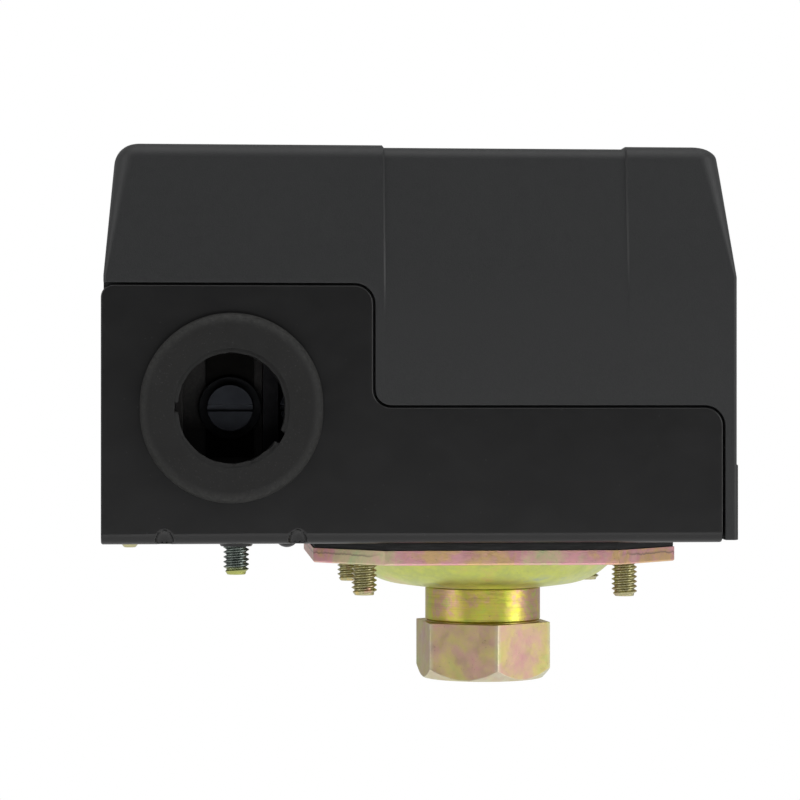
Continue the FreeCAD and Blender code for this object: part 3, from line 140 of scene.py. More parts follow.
def lathe(profile, segments, closed=True):
    """A profile of (radius, height) turned round the Z axis; closed joins its end to its start."""
    bm = bmesh.new()
    rings = []
    for radius, height in profile:
        if radius < 1e-7:
            rings.append([bm.verts.new((0, 0, height))] * segments)
            continue
        rings.append([bm.verts.new((radius * math.cos(math.tau * k / segments),
                                    radius * math.sin(math.tau * k / segments), height))
                      for k in range(segments)])
    for first, second in zip(rings, rings[1:] + (rings[:1] if closed else [])):
        for k in range(segments):
            after = (k + 1) % segments
            loop = list(dict.fromkeys((first[k], first[after], second[after], second[k])))
            if len(loop) > 2:
                bm.faces.new(loop)
    bmesh.ops.recalc_face_normals(bm, faces=bm.faces)
    return bm


def object_from(bm, name):
    """An object with that mesh; the mesh in bm is used up."""
    mesh = bpy.data.meshes.new(name)
    bm.to_mesh(mesh)
    bm.free()
    piece = bpy.data.objects.new(name, mesh)
    bpy.context.scene.collection.objects.link(piece)
    return piece


def loosened(piece):
    """The object's mesh to work on; the object goes."""
    bm = bmesh.new()
    bm.from_mesh(piece.data)
    bpy.data.objects.remove(piece)
    return bm


def bake(piece):
    """Applies the modifiers to the mesh."""
    bpy.context.view_layer.update()
    depsgraph = bpy.context.evaluated_depsgraph_get()
    mesh = bpy.data.meshes.new_from_object(piece.evaluated_get(depsgraph))
    old = piece.data
    piece.modifiers.clear()
    piece.data = mesh
    bpy.data.meshes.remove(old)
    mesh.name = piece.name


def combine(piece, operation, *tools):
    """An exact boolean with each tool in turn; the tools are used up."""
    for bm in tools:
        tool = object_from(bm, "tool")
        modifier = piece.modifiers.new("combine", "BOOLEAN")
        modifier.operation = operation
        modifier.solver = "EXACT"
        modifier.object = tool
        bake(piece)
        bpy.data.objects.remove(tool)


def merged(bm, distance):
    """Joins vertices that are closer together than the distance."""
    bmesh.ops.remove_doubles(bm, verts=bm.verts, dist=distance)
    bmesh.ops.dissolve_degenerate(bm, dist=distance, edges=bm.edges)


def bevel(piece, width, degrees, segments):
    modifier = piece.modifiers.new("soften", "BEVEL")
    modifier.width = width
    modifier.segments = segments
    modifier.limit_method = "ANGLE"
    modifier.angle_limit = math.radians(degrees)
    return modifier


def soften(piece, width, degrees=50, segments=3):
    """Rounds the edges that are sharper than the angle."""
    bm = bmesh.new()
    bm.from_mesh(piece.data)
    merged(bm, 2e-6)
    bm.to_mesh(piece.data)
    bm.free()
    modifier = bevel(piece, width, degrees, segments)
    modifier.use_clamp_overlap = False
    modifier.miter_outer = "MITER_ARC"
    bake(piece)


def shade(piece, degrees=32):
    """Smooth shading, with edges sharper than the angle kept crisp."""
    bm = bmesh.new()
    bm.from_mesh(piece.data)
    for face in bm.faces:
        face.smooth = True
    for edge in bm.edges:
        edge.smooth = not (len(edge.link_faces) == 2 and edge.calc_face_angle(0) > math.radians(degrees))
    bm.to_mesh(piece.data)
    bm.free()
    normals = piece.modifiers.new("normals", "WEIGHTED_NORMAL")
    normals.keep_sharp = True
    normals.weight = 60


def stand_for(piece, node, degrees=32, material=None):
    """Finishes a piece that stands for one CAD node: its shading, its material (from the node's slot unless
    one is given), and its body.
    """
    shade(piece, degrees)
    piece.data.materials.clear()
    piece.data.materials.append(material or MATERIALS[SLOT_OF[node]])
    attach(piece, BODY_OF[node])
    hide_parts(node)


# ------------------------------------------------------------------ materials
class Surface:
    """A small builder for a procedural material, laid out in the object's own metres."""

    def __init__(self, name, color, roughness, metallic=0.0, specular=0.5):
        self.material = bpy.data.materials.new(name)
        self.material.use_nodes = True
        self.tree = self.material.node_tree
        self.shader = self.tree.nodes["Principled BSDF"]
        self.shader.inputs["Base Color"].default_value = (*color, 1)
        self.shader.inputs["Roughness"].default_value = roughness
        self.shader.inputs["Metallic"].default_value = metallic
        self.shader.inputs["Specular IOR Level"].default_value = specular
        self.place = self.tree.nodes.new("ShaderNodeTexCoord").outputs["Object"]
        self.material.diffuse_color = (*color, 1)
        self.normal = None

    def add(self, kind, links=(), values=()):
        """A node with sources on some of its sockets and plain values on others."""
        node = self.tree.nodes.new("ShaderNode" + kind)
        for name, value in dict(values).items():
            node.inputs[name].default_value = value
        for name, source in dict(links).items():
            self.tree.links.new(source, node.inputs[name])
        return node

    def noise(self, scale, detail=3.0, rough=0.55, stretch=(1, 1, 1), shift=(0, 0, 0), warp=0.0):
        """Noise with that many features a metre, stretched and shifted."""
        where = self.add("Mapping", {"Vector": self.place}, {"Location": shift, "Scale": stretch})
        values = {"Scale": scale, "Detail": detail, "Roughness": rough, "Distortion": warp}
        return self.add("TexNoise", {"Vector": where.outputs["Vector"]}, values).outputs["Fac"]

    def axis(self, name):
        return self.add("SeparateXYZ", {"Vector": self.place}).outputs[name]

    def ramp(self, source, stops, blend="EASE"):
        """Colours at (position, colour) stops."""
        node = self.add("ValToRGB", {"Fac": source})
        ramp = node.color_ramp
        ramp.interpolation = blend
        while len(ramp.elements) < len(stops):
            ramp.elements.new(0.5)
        for element, (spot, color) in zip(ramp.elements, stops):
            element.position = spot
            element.color = (*color, 1)
        return node.outputs["Color"]

    def spread(self, source, low, high, start=0.3, stop=0.7):
        """Runs from low to high while the source runs from start to stop."""
        values = {"From Min": start, "From Max": stop, "To Min": low, "To Max": high}
        return self.add("MapRange", {"Value": source}, values).outputs["Result"]

    def mix(self, factor, first, second):
        """A mix of two colours; each argument is a value or a socket."""
        node = self.add("Mix")
        node.data_type = "RGBA"
        for socket, value in ((node.inputs[0], factor), (node.inputs[6], first), (node.inputs[7], second)):
            if isinstance(value, bpy.types.NodeSocket):
                self.tree.links.new(value, socket)
            elif isinstance(value, (int, float)):
                socket.default_value = value
            else:
                socket.default_value = (*value, 1)
        return node.outputs[2]

    def math(self, operation, first, second=0):
        node = self.add("Math")
        node.operation = operation
        for socket, value in zip(node.inputs, (first, second)):
            if isinstance(value, bpy.types.NodeSocket):
                self.tree.links.new(value, socket)
            else:
                socket.default_value = value
        return node.outputs["Value"]

    def set(self, name, source):
        self.tree.links.new(source, self.shader.inputs[name])

    def bump(self, height, distance, strength=1.0):
        """Adds a relief of that height in metres over what is there already."""
        node = self.add("Bump", {"Height": height}, {"Strength": strength, "Distance": distance})
        if self.normal:
            self.tree.links.new(self.normal, node.inputs["Normal"])
        self.normal = node.outputs["Normal"]
        self.set("Normal", self.normal)
        return self


def cover_plastic():
    """Charcoal moulded plastic with a fine spark-eroded grain and faint flow mottling."""
    look = Surface("cover_plastic", (0.0140, 0.0146, 0.0152), 0.5, specular=0.33)
    grain = look.noise(5200, 2, 0.6)
    mottle = look.noise(45, 4, 0.6)
    tone = look.ramp(mottle, [(0.3, (0.0138, 0.0144, 0.0150)), (0.7, (0.0146, 0.0152, 0.0158))])
    look.set("Base Color", look.mix(look.spread(grain, 0, 0.3, 0.35, 0.65), tone, (0.025, 0.0255, 0.026)))
    look.set("Roughness", look.spread(look.noise(700, 3), 0.49, 0.54))
    return look.bump(grain, 0.03 * MM, 0.5).material


def black_paint():
    """Black paint on steel: semi-gloss, slight orange peel, a few specks and dull scuffs."""
    look = Surface("black_paint", (0.0062, 0.0062, 0.0064), 0.34, specular=0.34)
    peel = look.noise(900, 2, 0.5)
    scuffs = look.noise(140, 5, 0.7, (1, 1, 1.6))
    specks = look.add("TexVoronoi", {"Vector": look.place}, {"Scale": 420})
    dust = look.spread(specks.outputs["Distance"], 1, 0, 0.03, 0.07)
    paler = look.spread(scuffs, 0, 0.3, 0.62, 0.8)
    tone = look.mix(paler, (0.0056, 0.0056, 0.0058), (0.0085, 0.0085, 0.0089))
    look.set("Base Color", look.mix(look.math("MULTIPLY", dust, 0.5), tone, (0.03, 0.03, 0.03)))
    look.set("Roughness", look.spread(scuffs, 0.35, 0.42, 0.4, 0.8))
    return look.bump(peel, 0.012 * MM, 0.5).material


def black_rubber():
    """Moulded black rubber, matt, with pores, a dusty bloom and fine pale specks."""
    look = Surface("black_rubber", (0.0090, 0.0090, 0.0088), 0.68, specular=0.24)
    bloom = look.noise(210, 5, 0.65)
    pores = look.noise(2600, 3, 0.6)
    tone = look.ramp(bloom, [(0.32, (0.0070, 0.0070, 0.0068)), (0.55, (0.0090, 0.0090, 0.0088)),
                             (0.78, (0.0150, 0.0150, 0.0146))])
    specks = look.spread(look.noise(3400, 2, 0.6), 0, 0.6, 0.62, 0.74)
    rim = look.spread(reach(look, (ENTRY.x, ENTRY.z), "Z"), 0, 1, 13.3 * MM, 14.7 * MM)
    dust = look.math("MULTIPLY", rim, look.spread(look.noise(1500, 5, 0.75), 0.15, 1, 0.4, 0.7))
    tone = look.mix(look.math("MULTIPLY", dust, 0.8), tone, (0.034, 0.034, 0.032))
    look.set("Base Color", look.mix(look.math("MULTIPLY", specks, bloom), tone, (0.06, 0.06, 0.056)))
    look.set("Roughness", look.spread(bloom, 0.6, 0.76))
    look.bump(pores, 0.03 * MM, 0.5)
    return look.bump(look.noise(380, 3), 0.06 * MM, 0.35).material


def diaphragm_rubber():
    """The cut edge of rubberised fabric: black with a faint weave."""
    look = Surface("diaphragm_rubber", (0.012, 0.012, 0.012), 0.75, specular=0.3)
    layers = look.noise(900, 3, 0.6, (0.3, 0.3, 4.0))
    look.set("Base Color", look.ramp(layers, [(0.35, (0.008, 0.008, 0.008)), (0.7, (0.02, 0.02, 0.02))]))
    return look.bump(layers, 0.05 * MM, 0.5).material


ROSE, GOLD = (0.52, 0.35, 0.25), (0.56, 0.43, 0.16)
LIME, OLIVE, SAGE = (0.50, 0.54, 0.11), (0.36, 0.34, 0.18), (0.36, 0.43, 0.24)


def film(look, patches, size, seed=(0, 0, 0), stretch=(1, 1, 1), warp=0.35):
    """The colour of a thin chromate film that wanders through the patches' colours."""
    field = look.noise(1 / size, 7.0, 0.66, stretch, seed, warp)
    stops = [(0.34 + 0.32 * k / (len(patches) - 1), color) for k, color in enumerate(patches)]
    return look.ramp(field, stops, "LINEAR")


def reach(look, centre, across="Y"):
    """The distance of a point from the axis through centre, measured in X and the other direction."""
    squares = []
    for name, place in (("X", centre[0]), (across, centre[1])):
        away = look.math("ABSOLUTE", look.math("SUBTRACT", look.axis(name), place))
        squares.append(look.math("POWER", away, 2))
    return look.math("SQRT", look.math("ADD", *squares))


def chromate(name, roughness):
    """Yellow chromate over zinc, before its colours are set."""
    look = Surface(name, GOLD, roughness, metallic=1.0)
    look.set("Roughness", look.spread(look.noise(420, 4, 0.7), roughness - 0.07, roughness + 0.1))
    look.bump(look.noise(1500, 3), 0.02 * MM, 0.5)
    return look


def height(look, low, high):
    """0 below low, 1 above high, in the object's Z."""
    return look.spread(look.axis("Z"), 0, 1, low, high)


def dulled(look, color, most=0.3):
    """The colour with small dull clouds and fine dark specks in it."""
    clouded = look.mix(look.spread(look.noise(900, 4, 0.6), 0.0, most), color, (0.34, 0.30, 0.22))
    return look.mix(look.spread(look.noise(3000, 2, 0.6), 0, 0.55, 0.66, 0.76), clouded, (0.16, 0.14, 0.10))


def yellow_zinc():
    """Pressed flange: pink and gold edge with green patches, a faint torn line, lime and sage dish."""
    look = chromate("yellow_zinc", 0.36)
    dish = film(look, [SAGE, LIME, (0.42, 0.47, 0.12), LIME, GOLD], 12 * MM, (0.004, 0.006, 0))
    edge = film(look, [(0.42, 0.50, 0.27), (0.58, 0.48, 0.30), (0.68, 0.33, 0.38), (0.66, 0.44, 0.20),
                       (0.64, 0.34, 0.36)], 13 * MM, (0.02, 0.0, 0.01))
    wander = look.math("MULTIPLY", look.math("SUBTRACT", look.noise(260, 4, 0.7, (1, 1, 0.1)), 0.5), 1.4 * MM)
    above = look.math("ADD", look.axis("Z"), wander)
    torn = look.math("MULTIPLY", look.spread(above, 0, 1, 22.3 * MM, 22.36 * MM),
                     look.spread(above, 1, 0, 22.45 * MM, 22.75 * MM))
    corners = look.spread(look.math("ABSOLUTE", look.axis("X")), 0, 0.7, 19 * MM, 22 * MM)
    torn = look.math("MULTIPLY", torn, corners)
    edge = look.mix(torn, edge, (0.20, 0.15, 0.12))
    look.set("Base Color", dulled(look, look.mix(height(look, 20.45 * MM, 20.95 * MM), dish, edge), 0.22))
    return look.material


def yellow_zinc_turned():
    """Turned fitting: tool marks round the lime and gold neck, pink and gold hexagon."""
    look = chromate("yellow_zinc_turned", 0.34)
    marks = look.noise(1, 3, 0.7, (60, 60, 5200))
    neck = film(look, [(0.44, 0.56, 0.08), (0.54, 0.54, 0.06), (0.58, 0.46, 0.10), (0.58, 0.32, 0.26),
                       (0.46, 0.56, 0.08)], 6 * MM, (0.013, 0.02, 0.0), (1, 1, 1.2))
    neck = look.mix(look.spread(marks, 0.0, 0.45, 0.48, 0.7), neck, (0.34, 0.26, 0.08))
    faces = film(look, [(0.46, 0.50, 0.17), (0.54, 0.45, 0.17), (0.54, 0.36, 0.25), (0.54, 0.29, 0.28)],
                 8 * MM, (0.031, 0.012, 0.02), warp=0.2)
    corner = reach(look, (0, 0))
    cone = look.math("SUBTRACT", corner, look.math("MULTIPLY", look.axis("Z"), 0.93))
    # Pale chamfer cone and pale lines along the hexagon's corners: partly wear, partly a painted highlight
    # along the edges.
    paler = look.math("MAXIMUM", look.spread(cone, 0, 0.75, 10.2 * MM, 10.34 * MM),
                     look.spread(corner, 0, 0.6, 11.75 * MM, 12.05 * MM))
    paler = look.math("MULTIPLY", paler, look.spread(look.noise(500, 4, 0.7), 0.5, 1, 0.35, 0.6))
    faces = look.mix(paler, faces, (0.56, 0.57, 0.42))
    high = height(look, 9.55 * MM, 9.85 * MM)
    look.set("Base Color", dulled(look, look.mix(high, faces, neck), 0.22))
    return look.bump(look.math("MULTIPLY", marks, high), 0.03 * MM, 0.8).material


def yellow_zinc_screw():
    look = chromate("yellow_zinc_screw", 0.36)
    look.set("Base Color", dulled(look, film(look, [GOLD, OLIVE, (0.46, 0.44, 0.24), OLIVE, ROSE], 3 * MM)))
    return look.material


def bare_metal(name, color, roughness, grain=(1, 1, 1), tint=0.12):
    """Plated or bright metal with a fine brushed or tumbled texture."""
    look = Surface(name, color, roughness, metallic=1.0)
    cloud = look.noise(260, 4, 0.6)
    darker = tuple(channel * (1 - 2 * tint) for channel in color)
    look.set("Base Color", look.ramp(cloud, [(0.3, darker), (0.7, color)]))
    look.set("Roughness", look.spread(look.noise(700, 4, 0.6, grain), roughness - 0.06, roughness + 0.12))
    return look.bump(look.noise(2400, 3, 0.6, grain), 0.012 * MM, 0.5).material


def ground_metal():
    """Grey zinc of the ground screw, with a green-yellow tip."""
    look = Surface("ground_metal", (0.23, 0.265, 0.24), 0.36, metallic=1.0)
    tone = look.ramp(look.noise(260, 4, 0.6), [(0.3, (0.17, 0.195, 0.18)), (0.7, (0.24, 0.275, 0.25))])
    tip = height(look, 19.8 * MM, 20.6 * MM)
    look.set("Base Color", look.mix(tip, (0.36, 0.38, 0.12), tone))
    look.set("Roughness", look.spread(look.noise(700, 4, 0.6), 0.3, 0.48))
    return look.bump(look.noise(2400, 3, 0.6), 0.012 * MM, 0.5).material


def phenolic():
    """Dark moulded phenolic with a slight gloss and fine speckle."""
    look = Surface("phenolic", (0.022, 0.019, 0.017), 0.34, specular=0.5)
    speck = look.noise(1700, 3, 0.7)
    look.set("Base Color", look.ramp(speck, [(0.35, (0.016, 0.014, 0.013)), (0.75, (0.036, 0.032, 0.029))]))
    look.set("Roughness", look.spread(look.noise(200, 3), 0.28, 0.42))
    return look.bump(look.noise(900, 3), 0.015 * MM, 0.5).material


MATERIALS = {
    "cover_plastic": cover_plastic(),
    "black_steel": black_paint(),
    "black_rubber": black_rubber(),
    "diaphragm_rubber": diaphragm_rubber(),
    "yellow_zinc": yellow_zinc(),
    "yellow_zinc_turned": yellow_zinc_turned(),
    "yellow_zinc_screw": yellow_zinc_screw(),
    "zinc_steel": bare_metal("zinc_steel", (0.56, 0.58, 0.6), 0.34, (1, 6, 1)),
    "bright_steel": bare_metal("bright_steel", (0.5, 0.5, 0.51), 0.28, (1, 1, 5)),
    "spring_steel": bare_metal("spring_steel", (0.24, 0.24, 0.26), 0.3),
    "blue_zinc": bare_metal("blue_zinc", (0.33, 0.39, 0.44), 0.36),
    "brass_strip": bare_metal("brass_strip", (0.62, 0.44, 0.2), 0.32, (5, 1, 1)),
    "silver_contact": bare_metal("silver_contact", (0.8, 0.79, 0.77), 0.25),
    "phenolic": phenolic(),
}


# ------------------------------------------------------------------ more mesh helpers
def span_box(x, y, z):
    """A box between pairs of X, Y and Z."""
    return prism([Vector(co) for co in ((x[0], y[0]), (x[1], y[0]), (x[1], y[1]), (x[0], y[1]))], *z)


def turned(profile, segments=48):
    """A solid turned round the Z axis; the profile runs from the axis back to it."""
    return lathe(profile, segments, closed=False)


def plug(radius, low, high, segments=48):
    """A cylinder round the Z axis."""
    return turned([(0, low), (radius, low), (radius, high), (0, high)], segments)


def rod_y(x, z, radius, y, segments=96):
    """A cylinder along Y through (x, z) between a pair of Y."""
    return prism(circle_points(x, z, radius, segments), -y[1], -y[0], LAY_Y)


def joined(name, parts):
    """Several closed meshes as one object."""
    whole = bmesh.new()
    for part in parts:
        mesh = bpy.data.meshes.new("part")
        part.to_mesh(mesh)
        part.free()
        whole.from_mesh(mesh)
        bpy.data.meshes.remove(mesh)
    return object_from(whole, name)


THREAD = ((0.0, 0.0), (0.14, 0.0), (0.46, 1.0), (0.62, 1.0))     # (share of the pitch, share of the depth)
SCREW_RADIUS, SCREW_PITCH = 2.08 * MM, 0.794 * MM                # 8-32
PIPE_PITCH = 1.411 * MM                                          # 1/4-18


def thread_rod(low, high, radius, pitch, depth, point=0.55 * MM, rise=0.7 * MM, segments=40):
    """A threaded rod along Z: crests at radius, chamfered at the low end, thread run out at the top."""
    bm = bmesh.new()
    turns = int((high - low) / pitch) + 3
    count = turns * len(THREAD)
    rows = []
    for k in range(count):
        share, deep = THREAD[k % len(THREAD)]
        row = []
        for s in range(segments):
            z = low + (k // len(THREAD) - 1 + share + s / segments) * pitch
            fade = max(0.0, min(1.0, (high - z) / pitch))
            r = min(radius - depth * deep * fade, radius - point + max(0.0, z - low) * point / rise)
            z = max(low, min(high, z))
            r = radius - point if z == low else r
            angle = math.tau * s / segments
            row.append(bm.verts.new((r * math.cos(angle), r * math.sin(angle), z)))
        rows.append(row)
    jump = len(THREAD)
    for k in range(count - jump - 1):
        for s in range(segments):
            if s + 1 < segments:
                bm.faces.new((rows[k][s], rows[k][s + 1], rows[k + 1][s + 1], rows[k + 1][s]))
            else:
                bm.faces.new((rows[k][s], rows[k + jump][0], rows[k + jump + 1][0], rows[k + 1][s]))
    bmesh.ops.delete(bm, geom=[v for v in bm.verts if not v.link_faces], context="VERTS")
    merged(bm, 1e-7)
    bmesh.ops.holes_fill(bm, edges=[e for e in bm.edges if e.is_boundary], sides=0)
    bmesh.ops.recalc_face_normals(bm, faces=bm.faces)
    return bm


def moved(bm, x, y=0.0):
    bm.transform(Matrix.Translation((x, y, 0)))
    return bm


def helix(centre, low, high, radius, wire, turns, share=(0.0, 1.0), lay=LAY_Z):
    """A coil of round wire along Z with closed end turns; share picks a part of its length."""
    per_turn, around, dead = 40, 14, 0.75           # dead is how much of each end turn lies flat
    steps = max(8, int(turns * per_turn * (share[1] - share[0])))
    rise = high - low - 2 * wire
    bm = bmesh.new()
    rings = []
    for k in range(steps + 1):
        t = (share[0] + (share[1] - share[0]) * k / steps) * turns
        flat = 2 * wire * dead
        if t < dead:
            level = flat * t / dead
        elif t > turns - dead:
            level = rise - flat * (turns - t) / dead
        else:
            level = flat + (rise - 2 * flat) * (t - dead) / (turns - 2 * dead)
        angle = math.tau * t
        out = Vector((math.cos(angle), math.sin(angle), 0))
        spot = out * radius + Vector((0, 0, low + wire + level))
        rings.append([bm.verts.new(spot + (out * math.cos(a) + Vector((0, 0, 1)) * math.sin(a)) * wire)
                      for a in (math.tau * j / around for j in range(around))])
    for first, second in zip(rings, rings[1:]):
        for j in range(around):
            bm.faces.new((first[j], first[(j + 1) % around], second[(j + 1) % around], second[j]))
    bm.faces.new(list(reversed(rings[0])))
    bm.faces.new(rings[-1])
    bm.transform(lay)
    bm.transform(Matrix.Translation(centre))
    bmesh.ops.recalc_face_normals(bm, faces=bm.faces)
    return bm


def rounded_copy(node, width, material=None):
    """The CAD node's own faces joined up, with its sharp edges rounded."""
    bm = bmesh.new()
    bm.from_mesh(NODES[node].data)
    bmesh.ops.remove_doubles(bm, verts=bm.verts, dist=1e-6)
    bmesh.ops.dissolve_limit(bm, angle_limit=math.radians(0.6), verts=bm.verts, edges=bm.edges)
    piece = object_from(bm, node + "_look")
    if width:
        bevel(piece, width, 40, 2)
        bake(piece)
    stand_for(piece, node, 30, material)


# ------------------------------------------------------------------ cover
COVER_LEFT, COVER_RIGHT, COVER_HALF = -64.2 * MM, 38.0 * MM, 33.0 * MM
BREAK, TOP = 67.55 * MM, COVER_HIGH.z
LEAN_LEFT, LEAN = 1.9 * MM, 2.65 * MM
TOP_ROUND, CORNER = 2.6 * MM, (0.6 * MM, 3.5 * MM)
PANEL_MIDDLE, PANEL_HALF, PANEL_SINK, PANEL_END = 0.5 * MM, 19.6 * MM, 0.4 * MM, 50.15 * MM
WALL = 1.8 * MM
POST_X = middle("cover_post").x


def cover_levels():
    """Going up: left wall's inset and Z, the others' inset and Z, corner radius, tilt of the normal."""
    levels = [(0.0, z, 0.0, z, CORNER[0], 0.0) for z in (COVER_LOW.z, 40 * MM, PANEL_END, 60 * MM, BREAK)]
    steps = 10
    tilt = math.atan2(LEAN, TOP - BREAK)
    left = rounded([(0, BREAK), (LEAN_LEFT, TOP, 1.4 * TOP_ROUND), (0.02, TOP)], steps, closed=False)[1:-1]
    other = rounded([(0, BREAK), (LEAN, TOP, TOP_ROUND), (0.02, TOP)], steps, closed=False)[1:-1]
    for part in range(1, 6):
        share = part / 6
        levels.append((left[0].x * share, BREAK + (left[0].y - BREAK) * share,
                       other[0].x * share, BREAK + (other[0].y - BREAK) * share,
                       CORNER[0] + (CORNER[1] - CORNER[0]) * share * 0.9, tilt))
    for k, (a, b) in enumerate(zip(left, other)):
        extra = b.x - other[0].x
        radius = max(0.7 * MM, CORNER[1] * 0.97 - extra)
        levels.append((a.x, a.y, b.x, b.y, radius, tilt + (math.pi / 2 - tilt) * k / steps))
    return levels


def cover_ring(level):
    """One ring of points, anticlockwise from the front left corner's end, with the centre panel sunk."""
    left_in, left_z, in_, z, radius, tilt = level
    wider = 0.5 * max(0.0, in_ - LEAN)
    x_left, x_right, y = COVER_LEFT + left_in, COVER_RIGHT - in_ - wider, COVER_HALF - in_
    sink = PANEL_SINK * max(0.0, min(1.0, (z - PANEL_END) / (TOP - PANEL_END)))
    step = 0.3 * MM
    left, right = PANEL_MIDDLE - PANEL_HALF, PANEL_MIDDLE + PANEL_HALF
    columns = [(left - step, 0), (left, sink), (-6 * MM, sink),
               (6 * MM, sink), (right, sink), (right + step, 0)]
    ring = []

    def corner(cx, cy, start):
        for k in range(9):
            angle = math.radians(start + 90 * k / 8)
            leftward = max(0.0, -math.cos(angle)) ** 2
            ring.append((cx + radius * math.cos(angle), cy + radius * math.sin(angle),
                         z + (left_z - z) * leftward))

    ring += [(x, -y + down * math.cos(tilt), z - down * math.sin(tilt)) for x, down in columns]
    corner(x_right - radius, -y + radius, -90)
    corner(x_right - radius, y - radius, 0)
    ring += [(x, y - down * math.cos(tilt), z - down * math.sin(tilt)) for x, down in reversed(columns)]
    corner(x_left + radius, y - radius, 90)
    corner(x_left + radius, -y + radius, 180)
    return ring


def cover_cutout(left, gap=0.35 * MM, low=24 * MM):
    """The base wall's outline with the gap round it, in X and Z."""
    right, step, low_top, tall_top = (edge + gap for edge in (BASE_HIGH.x, STEP_X, LOW_TOP, TALL_TOP))
    return rounded([(left, low), (right, low), (right, low_top, WALL_ROUND + gap),
                    (step, low_top, STEP_ROUND - gap), (step, tall_top, WALL_ROUND + gap),
                    (left, tall_top)], 10)


def inner_lips():
    """The lips behind the edges of the base walls, front and rear."""
    lips = []
    for side in (1, -1):
        span = sorted((side * 30.25 * MM, side * 31.25 * MM))
        lip = object_from(prism(cover_cutout(-63.7 * MM, 1.5 * MM, 28.45 * MM), *span, LAY_Y), "lip")
        combine(lip, "DIFFERENCE", prism(cover_cutout(-65 * MM, -1.5 * MM, 27.5 * MM),
                                         -40 * MM, 40 * MM, LAY_Y))
        lips.append(loosened(lip))
    return lips


def cover_shell():
    """The moulded cover: hollow, with cut-outs for the base walls, low band, boss and screw well."""
    bm = bmesh.new()
    rings = [[bm.verts.new(point) for point in cover_ring(level)] for level in cover_levels()]
    count = len(rings[0])
    for low, high in zip(rings, rings[1:]):
        for k in range(count):
            bm.faces.new((low[k], low[(k + 1) % count], high[(k + 1) % count], high[k]))
    bm.faces.new(list(reversed(rings[0])))
    top = rings[-1]
    rear = 6 + 18                                                  # index of the rear row's first point
    for k in range(5):
        bm.faces.new((top[k], top[k + 1], top[rear + 4 - k], top[rear + 5 - k]))
    bm.faces.new([top[5 + k] for k in range(rear - 4)])
    bm.faces.new([top[0]] + [top[rear + 5 + k] for k in range(count - rear - 5)])
    bmesh.ops.recalc_face_normals(bm, faces=bm.faces)
    piece = object_from(bm, "cover_shell")

    hollow = bmesh.new()
    roof = TOP - WALL
    share = (roof - BREAK) / (TOP - BREAK)
    loops = []
    for z, left_in, in_ in ((20 * MM, 0, 0), (BREAK, 0, 0), (roof, LEAN_LEFT * share, LEAN * share)):
        x = (COVER_LEFT + WALL + left_in, COVER_RIGHT - WALL - in_)
        y = COVER_HALF - WALL - in_
        loops.append([hollow.verts.new(co + (z,)) for co in ((x[0], -y), (x[1], -y), (x[1], y), (x[0], y))])
    for low, high in zip(loops, loops[1:]):
        for k in range(4):
            hollow.faces.new((low[k], low[(k + 1) % 4], high[(k + 1) % 4], high[k]))
    hollow.faces.new(list(reversed(loops[0])))
    hollow.faces.new(loops[-1])
    bmesh.ops.recalc_face_normals(hollow, faces=hollow.faces)

    cuts = [hollow]
    for side in (1, -1):
        for left, depth in ((-66.6 * MM, 31.25 * MM), (COVER_LEFT + WALL, 31.0 * MM)):
            span = sorted((side * depth, side * 34 * MM))
            cuts.append(prism(cover_cutout(left), *span, LAY_Y))
    cuts.append(span_box((-66 * MM, -61.4 * MM), (-34 * MM, 34 * MM), (20 * MM, 26.45 * MM)))
    combine(piece, "DIFFERENCE", *cuts)
    band = span_box((37.4 * MM, COVER_HIGH.x), (-32.4 * MM, 32.4 * MM), (COVER_LOW.z, 37.15 * MM))
    boss = moved(plug(6.6 * MM, 77.15 * MM, 87.9 * MM), POST_X)
    combine(piece, "UNION", band, boss, *inner_lips())
    well = moved(plug(4.6 * MM, 79.65 * MM, 91 * MM, 96), POST_X)
    hole = moved(plug(2.235 * MM, 76 * MM, 82 * MM), POST_X)
    combine(piece, "DIFFERENCE", well, hole)
    soften(piece, 0.14 * MM, 66, 2)
    stand_for(piece, "cover", 24)


